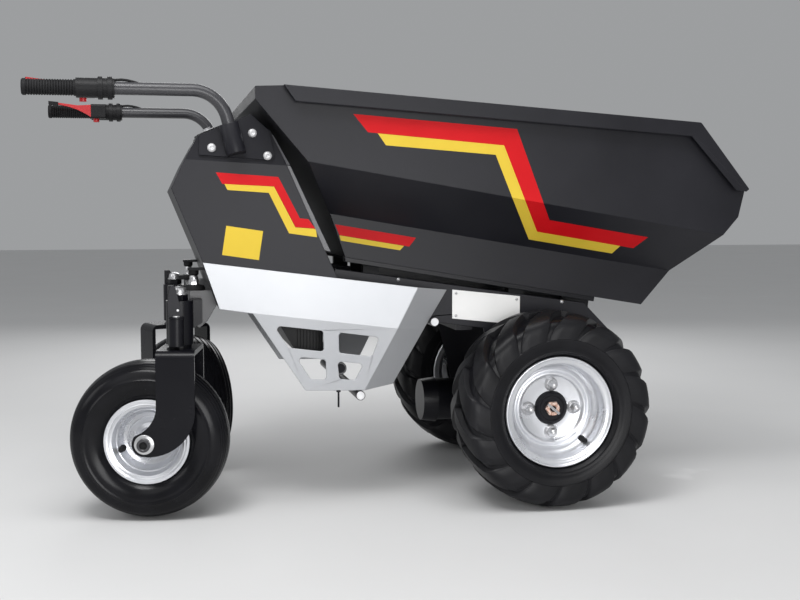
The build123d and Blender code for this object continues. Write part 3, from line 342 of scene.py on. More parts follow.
def sweep(points, r, count=12):
    """Round cord through points."""
    verts, faces = [], []
    circle = [(r * cos(2 * pi * i / count), r * sin(2 * pi * i / count), 0.0) for i in range(count)]
    for k, p in enumerate(points):
        ahead = Vector(points[min(k + 1, len(points) - 1)]) - Vector(points[max(k - 1, 0)])
        ring = facing(Vector(p), ahead, (0.0, 1.0, 0.0))
        verts += [ring @ Vector(c) for c in circle]
    for k in range(len(points) - 1):
        for i in range(count):
            n = (i + 1) % count
            faces.append([k * count + i, k * count + n, (k + 1) * count + n, (k + 1) * count + i])
    return verts, [*faces, list(range(count)), list(range(len(verts) - count, len(verts)))]


def facing(point, normal, up=UP):
    """Frame at a point with local Z along a normal and local Y as near up as it goes."""
    z = Vector(normal).normalized()
    x = Vector(up).cross(z)
    if x.length < 1e-6:
        x = Vector((1.0, 0.0, 0.0))
    x.normalize()
    return Matrix.Translation(point) @ Matrix((x, z.cross(x), z)).transposed().to_4x4()


# Profiles of fasteners as shares of their size
NUT_SEAT = [(0.8, 0), (0.8, 0.06), (0.6, 0.26), (0, 0.26)]
NUT_BODY = [(0, 0.2), (0.55, 0.2), (0.56, 0.86), (0.5, 0.95), (0, 0.95)]
NUT_DOME = [*[(0.47 * cos(a), 0.94 + 0.48 * sin(a)) for a in (0.0, 0.4, 0.8, 1.15)], (0, 1.42)]
BUTTON = [(1.0, 0), (1.0, 0.12), (0.9, 0.34), (0.66, 0.54), (0.3, 0.64), (0, 0.68)]


def scaled(profile, size):
    return [(r * size, h * size) for r, h in profile]


def acorn_nut(shape, place, size, seat):
    """Long domed nut on a coned seat; size is across the flats, seat the number of the seat's look."""
    shape.add(lathe(scaled(NUT_SEAT, size), 32), place, seat)
    shape.add(lathe(scaled(NUT_BODY, size), 6), place)
    shape.add(lathe(scaled(NUT_DOME, size), 24), place)


def dome_head(shape, place, size):
    """Plain button head; size is its diameter."""
    shape.add(lathe(scaled(BUTTON, size / 2), 28), place)


def wheel_frame(joint, side):
    """Frame of a wheel with local Z out of its side and local Y up."""
    axis = Vector(joints[joint]["axis"])
    return facing(Vector(joints[joint]["pos_m"]), axis * side)


# Drive tyres: a rounded carcass with swept, tapering lugs that wrap over its shoulders
LUG_COUNT = 15
LUG_LEAD = radians(27.0)
LUG_CURVE = 1.1  # the sweep steepens towards the middle
LUG_FOOT, LUG_BREAK = 2.6, 0.22  # spread of the lug's flank, and where it breaks
TYRE_HALF = 82.4
CARCASS = [
    (104.0, 60.0), (115.0, 62.5), (118.5, 67.0), (120.5, 72.0), (124.0, 74.6), (125.0, 76.4), (126.6, 76.4),
    (127.6, 76.2), (133.0, 79.3), (141.0, 81.4), (147.5, 82.0), (149.0, 82.3), (151.5, 82.3), (153.0, 80.6),
    (155.0, 80.6), (160.0, 80.4), (168.0, 79.6), (175.0, 78.2), (181.0, 75.6), (185.6, 71.6), (188.8, 65.6),
    (190.6, 57.0), (191.6, 44.0), (192.2, 24.0), (192.4, 0.0),
]
LUG_TOP = [
    (TYRE_HALF, 152.5), (TYRE_HALF, 163.0), (TYRE_HALF, 174.0), (81.4, 182.0), (78.2, 189.0), (72.0, 194.6),
    (62.0, 198.6), (48.0, 201.6), (32.0, 203.5), (16.0, 204.5), (2.0, 204.8), (-6.0, 204.8),
]
LUG_BASE = [
    (77.4, 152.5), (77.0, 161.0), (76.0, 169.0), (74.0, 175.6), (71.0, 180.6), (66.0, 184.6),
    (57.0, 187.4), (44.0, 188.8), (28.0, 189.6), (14.0, 190.0), (2.0, 190.2), (-6.0, 190.2),
]
LUG_WIDE = [29.6, 30.2, 30.6, 30.4, 29.2, 27.2, 24.8, 22.4, 20.4, 18.8, 17.8, 17.2]  # half widths


def lug(start, lead, flip):
    """One lug from its sidewall end to past the tread's middle line; flip puts it on the inner half."""
    verts, faces = [], []
    steps = [hypot(b[0] - a[0], b[1] - a[1]) for a, b in zip(LUG_TOP, LUG_TOP[1:])]
    for k, ((u, r), (bu, br), wide) in enumerate(zip(LUG_TOP, LUG_BASE, LUG_WIDE)):
        middle = start + lead * (sum(steps[:k]) / sum(steps)) ** LUG_CURVE
        shoulder = (u + (bu - u) * LUG_BREAK, r + (br - r) * LUG_BREAK)
        crest = wide - LUG_FOOT
        edges = ((wide + LUG_FOOT, (bu, br)), (wide, shoulder), (crest, (u, r)), (crest / 3, (u, r)))
        for q, (pu, pr) in edges:
            for way in (-1.0, 1.0):
                a = middle + way * asin(min(q / pr, 1.0))
                verts.append((pr * sin(a), pr * cos(a), pu * flip))
    order = (0, 2, 4, 6, 7, 5, 3, 1)
    rings = [[8 * k + i for i in order] for k in range(len(LUG_TOP))]
    for low, high in zip(rings, rings[1:]):
        faces += [[low[i], low[i + 1], high[i + 1], high[i]] for i in range(7)]
    return verts, [*faces, rings[0], list(reversed(rings[-1]))]


for side_name, side in SIDES.items():
    wheel = f"drive_wheel_{side_name}"
    place = wheel_frame(f"drive_spin_{side_name}", side)
    tyre = Shape()
    tyre.add(lathe([*CARCASS, *[(r, -u) for r, u in reversed(CARCASS[:-1])]], 120), place)
    pitch = 2 * pi / LUG_COUNT
    for k in range(LUG_COUNT):
        # Look 1 puts the lugs in the lighter rubber, a painted sheen.
        tyre.add(lug(k * pitch, -side * LUG_LEAD, 1.0), place, 1)
        tyre.add(lug((k + 0.5) * pitch, -side * LUG_LEAD, -1.0), place, 1)
    piece = tyre.piece(f"lugged_tyre_{side_name}", wheel, "tyre", rubber, lug_painted_sheen_rubber, sharp=42.0)
    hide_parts(f"drive_tyre_{side_name}")


# Drive wheel centres: a pressed rim with rolled lips and a stepped disc, domed nuts and a pinned axle nut
RIM = [
    (102.0, 63.0), (115.0, 63.5), (115.2, 67.5), (114.4, 69.4), (112.8, 69.9), (111.2, 69.2), (110.2, 67.4),
    (108.0, 65.6), (104.0, 64.9), (100.6, 63.6), (98.6, 60.6), (98.0, 56.0), (98.0, 46.0), (97.2, 38.0),
    (94.6, 32.0), (90.4, 27.4), (86.6, 23.6), (84.6, 19.6), (83.4, 16.4), (81.0, 14.8), (78.4, 15.4),
    (76.2, 17.6), (73.4, 18.4), (70.6, 17.6), (68.6, 15.0), (67.0, 12.2), (64.6, 11.2), (36.2, 11.0),
    (36.2, 6.0), (66.0, 6.0), (84.0, 9.0), (84.0, -28.0), (98.0, -43.0), (98.0, -58.0), (100.0, -64.0),
    (106.0, -66.0), (111.0, -69.2), (113.0, -70.0), (115.0, -69.0), (115.0, -64.0), (102.0, -63.5),
    (102.0, -40.0), (88.0, -26.0), (88.0, 16.0), (102.0, 30.0), (102.0, 63.0),
]
DISC_FACE, HUB_FACE, STUD_RADIUS, STUD_COUNT, NUT = 11.0, 17.0, 50.0, 4, 18.0
HUB_COVER = [(31.5, -2.0), (31.5, 0.8), (30.0, 2.0), (27.0, 2.0), (25.0, 0.6), (0, 0.6)]
AXLE_WASHER = [(0, 0.6), (17.5, 0.6), (17.5, 2.4), (0, 2.4)]
AXLE_NUT = [(0, 2.4), (16.0, 2.4), (16.0, 7.0), (14.5, 8.0), (0, 8.0)]
AXLE_END = [(0, 7.0), (6.6, 7.0), (6.6, 11.0), (5.4, 12.4), (0, 12.4)]
PRONG = [(-2.4, -3.0), (2.4, -3.4), (2.4, 3.4), (-2.4, 3.0)]
PRONG_RADIUS, PRONG_FOOT, PRONG_TOP = 11.0, 7.5, 12.5
PIN_LEG = [(0, -16.5), (1.2, -16.5), (1.2, 16.5), (0, 16.5)]
PIN_GAP, PIN_LIFT, PIN_TURN = 1.3, 12.9, radians(-40.0)
VALVE_RADIUS, VALVE_ANGLE, VALVE_FOOT = 91.0, radians(136.0), 26.0
VALVE = [
    (0, -4.0), (7.0, -4.0), (7.0, 3.0), (5.4, 6.0), (4.8, 13.0), (4.0, 14.0), (5.0, 15.0), (5.0, 22.0),
    (4.2, 23.5), (0, 23.5),
]
FITTING_LOOKS = (chrome, frame_black, copper, soft_rubber, steel)
BRIGHT, BLACK, ZINC, SOFT, SEAT = range(5)
for side_name, side in SIDES.items():
    wheel = f"drive_wheel_{side_name}"
    place = wheel_frame(f"drive_spin_{side_name}", side)
    rim = Shape()
    rim.add(lathe(RIM, 128), place)
    piece = rim.piece(f"pressed_rim_{side_name}", wheel, "rim_silver", rim_silver, sharp=50.0)
    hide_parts(f"drive_rim_{side_name}")

    fittings = Shape()
    for k in range(STUD_COUNT):
        a = 2 * pi * k / STUD_COUNT
        spot = Matrix.Translation(Vector((STUD_RADIUS * sin(a), STUD_RADIUS * cos(a), DISC_FACE)) * MM)
        acorn_nut(fittings, place @ spot, NUT, SEAT)
    end = place @ Matrix.Translation((0, 0, HUB_FACE * MM))
    fittings.add(lathe(HUB_COVER, 48), end, BLACK)
    fittings.add(lathe(AXLE_WASHER, 32), end, BLACK)
    fittings.add(lathe(AXLE_NUT, 6), end, ZINC)
    for k in range(6):
        prong = Matrix.Rotation(k * pi / 3 + pi / 6, 4, "Z") @ Matrix.Translation((PRONG_RADIUS * MM, 0, 0))
        fittings.add(prism(PRONG, PRONG_FOOT, PRONG_TOP), end @ prong, ZINC)
    fittings.add(lathe(AXLE_END, 20), end, BLACK)
    lift = Matrix.Translation((0, 0, PIN_LIFT * MM))
    pin = end @ lift @ Matrix.Rotation(PIN_TURN, 4, "Z") @ Matrix.Rotation(pi / 2, 4, "Y")
    for shift in (-PIN_GAP, PIN_GAP):
        fittings.add(lathe(PIN_LEG, 10), pin @ Matrix.Translation((0, shift * MM, 0)), BRIGHT)
    valve = Vector((VALVE_RADIUS * sin(VALVE_ANGLE), VALVE_RADIUS * cos(VALVE_ANGLE), VALVE_FOOT)) * MM
    fittings.add(lathe(VALVE, 16), place @ Matrix.Translation(valve), SOFT)
    fittings.piece(f"wheel_fittings_{side_name}", wheel, "rod_steel", *FITTING_LOOKS)


# Caster tyres: ribbed tread and a ringed sidewall
CASTER_SIDE = [
    (74.0, 44.4), (85.0, 45.5), (88.5, 48.4), (92.0, 52.0), (97.0, 55.4), (104.0, 58.4), (111.0, 60.2),
    (117.0, 60.9), (122.0, 60.8), (122.8, 61.5), (124.6, 61.4), (125.4, 60.2), (131.0, 58.9), (137.0, 56.8),
    (142.0, 54.4), (145.6, 52.0),
]
CASTER_R, CASTER_CROWN, TREAD_HALF = 160.0, 14.0, 52.0
RIBS, RIB_DEEP, RIB_WIDE = (48.0, 39.0, 29.0, 18.0, 6.0), 2.4, 3.0
RIB_EDGE, RIB_FLOOR, RIB_ROUND = RIB_WIDE / 2 + 0.7, RIB_WIDE / 2 - 0.5, 0.15
RIB_GROOVE = ((RIB_EDGE, RIB_ROUND), (RIB_FLOOR, RIB_DEEP), (-RIB_FLOOR, RIB_DEEP), (-RIB_EDGE, RIB_ROUND))
CASTER_RINGS = ((75.0, 48.2), (63.5, 29.6), (43.5, 7.2))
RING = ((2.4, -2.0), (1.8, 0.6), (0.0, 1.3), (-1.8, 0.4), (-2.4, -2.4))
CASTER_VALVE = (-54.0, -19.0, 14.0)
SCREW_SEAT = 74.6
SCREW_WASHER = [(9.4, 0), (19.5, 0), (19.5, 2.4), (18.6, 3.0), (9.4, 3.0)]
SCREW_HEAD = [(9.4, 3.0), (13.2, 3.0), (13.2, 13.0), (12.0, 14.4), (8.6, 14.4), (7.6, 13.6)]
# The hex socket's walls and floor are drawn in dark grip rubber: painted shade in the recess.
SCREW_SOCKET = [(7.6, 13.6), (7.2, 11.0), (0, 11.0)]
BOTH_FACES = (Matrix.Identity(4), Matrix.Rotation(pi, 4, "Y"))


def tread_r(u):
    return CASTER_R - CASTER_CROWN * (u / TREAD_HALF) ** 2


def ribbed(u):
    return [(tread_r(u + d) - deep, u + d) for d, deep in RIB_GROOVE]


for side_name, side in SIDES.items():
    wheel = f"caster_wheel_{side_name}"
    place = wheel_frame(f"caster_spin_{side_name}", side)
    half = [*CASTER_SIDE, *[point for u in RIBS for point in ribbed(u)]]
    tyre = Shape()
    tyre.add(lathe([*half, *[(r, -u) for r, u in reversed(half)]], 112), place)
    piece = tyre.piece(f"ribbed_tyre_{side_name}", wheel, "tyre", gloss_rubber, sharp=50.0)
    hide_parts(f"caster_tyre_{side_name}")

    trim = Shape()
    for flip in BOTH_FACES:
        for r, h in CASTER_RINGS:
            trim.add(lathe([(r + dr, h + dh) for dr, dh in RING], 72), place @ flip)
    trim.add(lathe(VALVE, 16), place @ Matrix.Translation(Vector(CASTER_VALVE) * MM), 1)
    trim.piece(f"caster_rim_rings_{side_name}", wheel, "rim_silver", rim_silver, soft_rubber)

    screws = Shape()
    for flip in BOTH_FACES:
        spot = place @ flip @ Matrix.Translation((0, 0, SCREW_SEAT * MM))
        screws.add(lathe(SCREW_WASHER, 40), spot)
        screws.add(lathe(SCREW_HEAD, 36), spot, 1)
        # Look 2 darkens the hex socket: painted shade in the recess.
        screws.add(lathe(SCREW_SOCKET, 6), spot, 2)
    fork = f"caster_{side_name}"
    screws.piece(f"axle_screws_{side_name}", fork, "rod_steel", chrome, tube_grey, soft_rubber)


# Stripes and stickers
TUB_X, TUB_Z = -419.5, 521.0  # rear end of the tub's floor
TUB_FALL = radians(9.5)
TUB_LOW_Y, TUB_TOP_Y, CREASE_LOW, CREASE_HIGH = 221.5, 332.0, 84.0, 176.0
CONSOLE_Y = 287.0
LIFT = 0.35


def tub_point(u, v, side):
    """Point on the tub's side from millimetres along its floor and up from it."""
    share = min(max((v - CREASE_LOW) / (CREASE_HIGH - CREASE_LOW), 0.0), 1.0)
    y = TUB_LOW_Y + (TUB_TOP_Y - TUB_LOW_Y) * share
    along = u * cos(TUB_FALL) + v * sin(TUB_FALL)
    rise = v * cos(TUB_FALL) - u * sin(TUB_FALL)
    return at(TUB_X + along, side * y, TUB_Z + rise)


def console_point(x, z, side):
    """Point on the console's flat side."""
    return aft(x, side * CONSOLE_Y, z)


def sheet(shape, outline, point, side, mark, lift=LIFT):
    """Thin closed film on a flat face, just proud of it."""
    base = [point(u, v, side) for u, v in outline]
    normal = (base[1] - base[0]).cross(base[-1] - base[0]).normalized()
    if normal.y * side < 0:
        normal = -normal
    verts = [(p + normal * step * MM) / MM for step in (0.0, lift) for p in base]
    shape.add((verts, capped(len(base))), mark=mark)


RED, YELLOW = 0, 1
TUB_STRIPES = [
    (RED, [(-47.7, 284.2), (290.8, 315.4), (269.4, 277.8), (-12.6, 253.8)]),
    (RED, [(290.8, 315.4), (373.4, CREASE_HIGH), (332.6, CREASE_HIGH), (269.4, 277.8)]),
    (RED, [(373.4, CREASE_HIGH), (404.8, 145.5), (392.9, 118.4), (332.6, CREASE_HIGH)]),
    (RED, [(404.8, 145.5), (629.7, 145.5), (614.7, 118.4), (392.9, 118.4)]),
    (YELLOW, [(7.3, 255.2), (269.4, 277.8), (255.2, 255.9), (27.5, 234.9)]),
    (YELLOW, [(269.4, 277.8), (332.6, CREASE_HIGH), (305.1, CREASE_HIGH), (255.2, 255.9)]),
    (YELLOW, [(332.6, CREASE_HIGH), (392.9, 118.4), (384.7, 100.0), (305.1, CREASE_HIGH)]),
    (YELLOW, [(392.9, 118.4), (584.1, 118.4), (577.1, 100.0), (384.7, 100.0)]),
    (RED, [(-31.5, 63.8), (143.9, 63.8), (132.3, 43.0), (-18.8, 43.0)]),
    (YELLOW, [(-18.8, 42.6), (121.0, 42.6), (114.0, 32.2), (-14.1, 32.2)]),
]
CONSOLE_FILMS = [
    (RED, [(73.6, 693.7), (197.4, 685.1), (188.6, 666.3), (86.1, 670.9)]),
    (RED, [(197.4, 685.1), (240.1, 602.5), (231.2, 584.6), (188.6, 666.3)]),
    (RED, [(240.1, 602.5), (257.5, 600.6), (271.4, 581.6), (231.2, 584.6)]),
    (YELLOW, [(90.3, 670.6), (188.6, 665.9), (178.1, 653.5), (96.2, 659.1)]),
    (YELLOW, [(188.6, 665.9), (230.8, 584.2), (218.2, 572.4), (178.1, 653.5)]),
    (YELLOW, [(230.8, 584.2), (272.4, 581.0), (274.8, 564.2), (218.2, 572.4)]),
    (YELLOW, [(93.0, 588.0), (166.0, 577.0), (157.0, 519.0), (84.0, 530.0)]),  # blank sticker
]
for body, films, point in (("tub", TUB_STRIPES, tub_point), ("chassis", CONSOLE_FILMS, console_point)):
    for side_name, side in SIDES.items():
        film = Shape()
        for mark, outline in films:
            sheet(film, outline, point, side, mark)
        film.piece(f"{body}_stripes_{side_name}", body, "lever_red", red_vinyl, yellow_vinyl)


# Handle plate bolts, and a lighter strip along the console's front edge: a painted highlight standing in for the
# light caught by its turned flange
LEAN = radians(10.0)
CREASE_X, CREASE_Z, CREASE_FALL, PLATE_T = 13.0, 719.0, 0.055, 5.0
BOLT_HEAD = [(8.7, 0.0), (8.7, 1.4), (7.6, 3.8), (5.6, 5.4), (4.2, 5.8), (3.4, 5.4), (3.0, 3.0), (0, 3.0)]
PLATE_BOLTS = [(66.0, 741.0), (147.0, 771.0), (176.0, 726.0)]
FLANGE_T = 1.2
FLANGE_LOW = [(215.4, 707.4), (221.4, 707.2), (302.3, 534.8), (290.4, 538.1)]
FLANGE_HIGH = [(186.0, 770.0), (189.0, 768.0), (221.0, 708.4), (215.2, 708.6)]


def lean_point(x, z, side, out):
    """Point on the console's leaning upper facet, lifted out along its normal, and the normal."""
    normal = Vector((CREASE_FALL * sin(LEAN), side * cos(LEAN), sin(LEAN))).normalized()
    foot = aft(CREASE_X, side * CONSOLE_Y, CREASE_Z)
    p = aft(x, 0.0, z)
    p.y = foot.y - (normal.x * (p.x - foot.x) + normal.z * (p.z - foot.z)) / normal.y
    return p + normal * out * MM, normal


def facet_point(x, z, side):
    """Point on the console's leaning upper facet."""
    return lean_point(x, z, side, 0.0)[0]


for side_name, side in SIDES.items():
    bolts = Shape()
    for x, z in PLATE_BOLTS:
        p, normal = lean_point(x, z, side, PLATE_T)
        bolts.add(lathe(BOLT_HEAD, 32), facing(p, normal))
    bolts.piece(f"handle_bolts_{side_name}", "chassis", "rod_steel", bolt_white)

    # The strip is a painted highlight: lighter grey standing in for the light on the console's turned front
    # flange.
    flange = Shape()
    sheet(flange, FLANGE_LOW, console_point, side, 0, FLANGE_T)
    sheet(flange, FLANGE_HIGH, facet_point, side, 0, FLANGE_T)
    flange.piece(f"console_flange_highlight_{side_name}", "chassis", "charcoal", flange_highlight_grey)


# Widened front ends of the tub's rim
RIM_FACE, RIM_T = 351.7, 3.4
RIM_END = [(299.5, 774.5), (419.5, 660.2), (418.0, 657.9), (399.0, 661.0), (296.5, 772.0)]


def span(side, near, far):
    """Lower and higher y of a plate that lies between two distances from the middle."""
    return sorted((side * near, side * far))


for side_name, side in SIDES.items():
    end = Shape()
    end.add(across(RIM_END, *span(side, RIM_FACE - RIM_T, RIM_FACE)), AXLE_FRAME)
    end.piece(f"rim_end_{side_name}", "tub", "charcoal", charcoal)


# Grips with ribs along their length
HANDLE_Y, HANDLE_Z = 301.0, 853.0
GRIP_START, GRIP_L, GRIP_R = -952.0, 100.0, 16.0
GRIP_RIBS, RIB_START, RIB_ENDS = 17, 6.0, 16.0
GRIP_HEAD = [(12.8, 0.0), (GRIP_R, 0.0), (GRIP_R, 4.0), (14.2, 5.0)]
GRIP_RIB = ((13.9, 0.0), (15.4, 0.25), (15.4, 0.7), (13.9, 0.95))  # radius, share of the pitch
GRIP_TAIL = ((14.4, -9.0), (GRIP_R, -8.0), (GRIP_R, -2.5), (14.0, 0.0), (0, 0.0))  # radius, from the end
pitch = (GRIP_L - RIB_ENDS) / GRIP_RIBS
profile = list(GRIP_HEAD)
for k in range(GRIP_RIBS):
    profile += [(r, RIB_START + k * pitch + pitch * share) for r, share in GRIP_RIB]
profile += [(r, GRIP_L + h) for r, h in GRIP_TAIL]
grips = Shape()
for side in SIDES.values():
    grips.add(lathe(profile, 40), facing(at(GRIP_START, side * HANDLE_Y, HANDLE_Z), (-1.0, 0.0, 0.0)))
piece = grips.piece("ribbed_grips", "chassis", "rubber_black", soft_rubber)
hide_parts("grips")

# Sign plate rivets, in metres from the plate's edges
RIVET_IN, RIVET_LOW, RIVET_STEP, SIGN_TALL, RIVET_D = 0.008, 0.007, 0.048, 0.062, 6.0
sign_low, sign_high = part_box("sign_plate")
sign_slope = (sign_high.z - sign_low.z) - SIGN_TALL
rivets = Shape()
for x in (sign_low.x + RIVET_IN, sign_high.x - RIVET_IN):
    share = (x - sign_low.x) / (sign_high.x - sign_low.x)
    for upper in (0.0, 1.0):
        z = sign_low.z + sign_slope * (1.0 - share) + RIVET_LOW + upper * RIVET_STEP
        dome_head(rivets, facing(Vector((x, sign_low.y, z)), (0, -1, 0)), RIVET_D)
rivets.piece("sign_rivets", "chassis", "rod_steel", steel)

# Caps, rubber mounts and lock pins at the caster heads
CASTER_Y, HEAD_TOP, BEAM_TOP = 257.0, 450.0, 454.0
KINGPIN_CAP = [(16.0, 0.0), (16.0, 3.0), (13.6, 4.0), (13.6, 8.0), (12.0, 13.0), (7.0, 16.0), (0, 17.0)]
MOUNT_X, MOUNT_Y = 31.0, 186.0
MOUNT_FOOT = [(0, 0), (23.0, 0), (23.5, 4.0), (21.0, 9.0), (13.0, 11.0), (0, 11.0)]
MOUNT_NUT = [(0, 11.0), (10.5, 11.0), (10.5, 20.0), (9.0, 22.0), (0, 22.0)]
MOUNT_NECK = [(0, 21.0), (8.2, 21.0), (8.6, 27.0), (7.0, 31.0), (0, 31.0)]
MOUNT_BUFFER = [(0, 30.0), (8.0, 30.0), (10.5, 33.0), (10.5, 42.0), (0, 42.0)]
MOUNT_TAB, TAB_LOW, TAB_HIGH = [(-12.0, -10.0), (26.0, -14.0), (26.0, 14.0), (-12.0, 10.0)], 41.0, 46.0
LOCK_X, LOCK_OUT, LOCK_TOP = -8.0, 39.0, 407.0
LOCK_SLEEVE = [
    (15.2, -3.0), (16.0, -2.0), (16.0, 0.6), (15.0, 1.4), (11.0, 1.4), (10.4, 0.4), (10.4, -8.0), (0, -8.0),
]
LOCK_PIN = [(0, -8.0), (7.0, -8.0), (7.0, 2.0), (5.6, 3.4), (0, 3.4)]
LOCK_LEVER_Y, LOCK_LEVER_T, LOCK_EYE_X, LOCK_EYE_Z = 292.0, 4.0, -4.6, 421.2
LOCK_LEVER = [
    (-19.6, 466.0), (-17.6, 469.6), (-14.2, 470.8), (-11.0, 469.4), (-8.1, 465.3), (-1.9, 436.4),
    (4.3, 402.0), (-23.2, 402.0), (-24.2, 436.7),
]
LOCK_EYE = [(0, -0.5), (2.6, -0.5), (2.6, 0.6), (2.0, 1.2), (0, 1.2)]
for side_name, side in SIDES.items():
    cap = Shape()
    cap.add(lathe(KINGPIN_CAP, 32), facing(aft(0.0, side * CASTER_Y, HEAD_TOP), UP))
    cap.piece(f"kingpin_cap_{side_name}", f"caster_{side_name}", "rod_steel", chrome)

    mount = Shape()
    foot = facing(aft(MOUNT_X, side * MOUNT_Y, BEAM_TOP), UP)
    mount.add(lathe(MOUNT_FOOT, 36), foot, 1)
    mount.add(lathe(MOUNT_NUT, 6), foot)
    mount.add(lathe(MOUNT_NECK, 24), foot)
    mount.add(lathe(MOUNT_BUFFER, 30), foot, 1)
    mount.add(prism(MOUNT_TAB, TAB_LOW, TAB_HIGH), aft_frame(MOUNT_X, side * MOUNT_Y, BEAM_TOP), 2)
    mount.piece(f"beam_mount_{side_name}", "chassis", "rod_steel", chrome, soft_rubber, frame_black)

    lock = Shape()
    top = facing(aft(LOCK_X, side * (CASTER_Y + LOCK_OUT), LOCK_TOP), UP)
    lever_face = LOCK_LEVER_Y + LOCK_LEVER_T
    lock.add(lathe(LOCK_SLEEVE, 32), top)
    lock.add(lathe(LOCK_PIN, 24), top, 1)
    lock.add(across(LOCK_LEVER, *span(side, LOCK_LEVER_Y, lever_face)), aft_frame(0.0, 0.0, 0.0), 2)
    lock.add(lathe(LOCK_EYE, 20), facing(aft(LOCK_EYE_X, side * lever_face, LOCK_EYE_Z), (0, side, 0)), 1)
    lock.piece(f"lock_pin_{side_name}", "chassis", "frame_black", frame_black, steel, charcoal)

# Rod ends, collars and a stud under the belly, screws along the rails
RAIL_FACE, RAIL_SCREWS, RAIL_SCREW_D = 222.5, ((-305.6, 472.0), (58.8, 419.0)), 8.0
PEG_REACH, PEG_ABOVE, LOW_REACH, LOW_BELOW = 0.24, 0.33, 0.255, 0.25  # metres
ROD_DISC = [(0, -0.5), (8.8, -0.5), (8.8, 0.8), (8.0, 1.6), (0, 1.6)]
COLLAR_PLACE = (-437.0, 264.0, 292.0)
COLLAR = [(9.0, -7.0), (13.5, -7.0), (13.5, -0.8), (12.6, 0.0), (9.0, 0.0)]
STUD_PLACE = (-440.0, 258.0, 246.0)
STUD = [(0, -3.0), (2.1, -3.0), (2.1, 35.0), (1.6, 36.0), (0, 36.0)]
STUD_NUT = [(2.1, 0.0), (4.6, 0.0), (4.6, 4.0), (2.1, 4.0)]


def rod_points(chosen):
    return [v.co for v in nodes["tie_rods"].data.vertices if chosen(v.co)]


def mirrored(place, side):
    """Point from the drive axle, on one side of the machine."""
    return at(place[0], side * place[1], place[2])


peg_points = rod_points(lambda p: p.y < -PEG_REACH and p.z > PEG_ABOVE)
low_points = rod_points(lambda p: p.y < -LOW_REACH and p.z < LOW_BELOW)
for side_name, side in SIDES.items():
    out = (0, side, 0)
    ends = Shape()
    for points in (peg_points, low_points):
        x = (min(p.x for p in points) + max(p.x for p in points)) / 2
        z = (min(p.z for p in points) + max(p.z for p in points)) / 2
        y = max(abs(p.y) for p in points)
        ends.add(lathe(ROD_DISC, 36), facing(Vector((x, side * y, z)), out))
    ends.add(lathe(COLLAR, 36), facing(mirrored(COLLAR_PLACE, side), out), 2)
    for x, z in RAIL_SCREWS:
        dome_head(ends, facing(at(x, side * RAIL_FACE, z), out), RAIL_SCREW_D)
    if side_name == "right":
        stud = facing(mirrored(STUD_PLACE, side), (0, 0, -1))
        ends.add(lathe(STUD, 14), stud, 1)
        ends.add(lathe(STUD_NUT, 6), stud, 1)
    ends.piece(f"rod_ends_{side_name}", "chassis", "rod_steel", steel, frame_black, tube_grey)

# Controller case with cooling ribs
CASE_TRIM, CASE_SLANT, CASE_KNEE, CASE_STEP = 12.0, 54.0, 408.0, 4.0
CASE_RIBS, RIB_T, RIB_REACH, RIB_SINK, RIB_LAST, RIB_LOW, RIB_HIGH = 8, 3.0, 4.0, 0.5, 6.0, 6.0, 8.0
box_low, box_high = (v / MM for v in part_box("controller_box"))
box_points = [v.co for v in nodes["controller_box"].data.vertices]
front_top = max(p.z for p in box_points if p.x > box_high.x * MM - 1e-4) / MM
case_rear = box_low.x + CASE_TRIM
ribs_start = case_rear + CASE_SLANT
case = Shape()
profile = [
    (case_rear, box_high.z), (box_high.x, front_top), (box_high.x, box_low.z),
    (ribs_start - CASE_STEP, box_low.z), (case_rear, CASE_KNEE),
]
case.add(across(profile, box_low.y + RIB_REACH, box_high.y - RIB_REACH))
for face in (box_low.y, box_high.y - RIB_REACH - RIB_SINK):
    for k in range(CASE_RIBS):
        x = ribs_start + (box_high.x - ribs_start - RIB_LAST) * k / (CASE_RIBS - 1)
        low_z, high_z = box_low.z + RIB_LOW, front_top - RIB_HIGH
        rear, front = x - RIB_T / 2, x + RIB_T / 2
        rib = [(rear, low_z), (front, low_z), (front, high_z), (rear, high_z)]
        case.add(across(rib, face, face + RIB_REACH + RIB_SINK))
piece = case.piece("ribbed_controller", "chassis", "box_black", plastic)
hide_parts("controller_box")

# Toes of the bearers under the tub's floor
BEARER_Y, BEARER_T = 80.0, 8.0
TOE = ((56.0, 0.5), (120.0, 0.5), (116.0, -20.0), (56.0, -32.0))  # forward of the axle, up from the floor


def floor_z(x):
    return TUB_Z - (x - TUB_X) * sin(TUB_FALL) / cos(TUB_FALL)


toes = Shape()
for side in SIDES.values():
    y = side * BEARER_Y
    toe = [(x, floor_z(x) + rise) for x, rise in TOE]
    toes.add(across(toe, y - BEARER_T / 2, y + BEARER_T / 2), AXLE_FRAME)
toes.piece("bearer_toes", "tub", "charcoal", charcoal)

# Handle mounts: a bolted plate and a socket with an angled foot, closed by a dark disc that is painted shade
# standing in for the hollow of its open end
SOCKET_FOOT, SOCKET_TOP = (115.0, 725.0), (98.5, 789.0)
SLEEVE_R, SLEEVE_COUNT, FOOT_LIFT, FOOT_CUT = 19.6, 40, 4.0, 4.0
SLEEVE_MOUTH = ((12.8, 0.0), (18.8, 0.0), (SLEEVE_R, -1.2))  # radius, from the top
SLEEVE_FOOT = ((SLEEVE_R, 0.0), (16.8, 0.0), (16.4, 1.0), (0, 1.0))
PLATE_SINK, PLATE_EDGE, PLATE_IN_X, PLATE_IN_Z = -0.5, 0.8, 0.985, 0.98
MOUNT = [
    (41.0, 727.0), (176.0, 717.8), (181.0, 718.0), (186.0, 720.0), (189.5, 724.0), (190.0, 729.0),
    (182.0, 776.0), (145.0, 809.0), (107.0, 794.0), (42.0, 766.0),
]
# Looks of the socket: its coat, and the painted shade on the disc in its foot
COAT, FOOT_SHADE = 0, 1


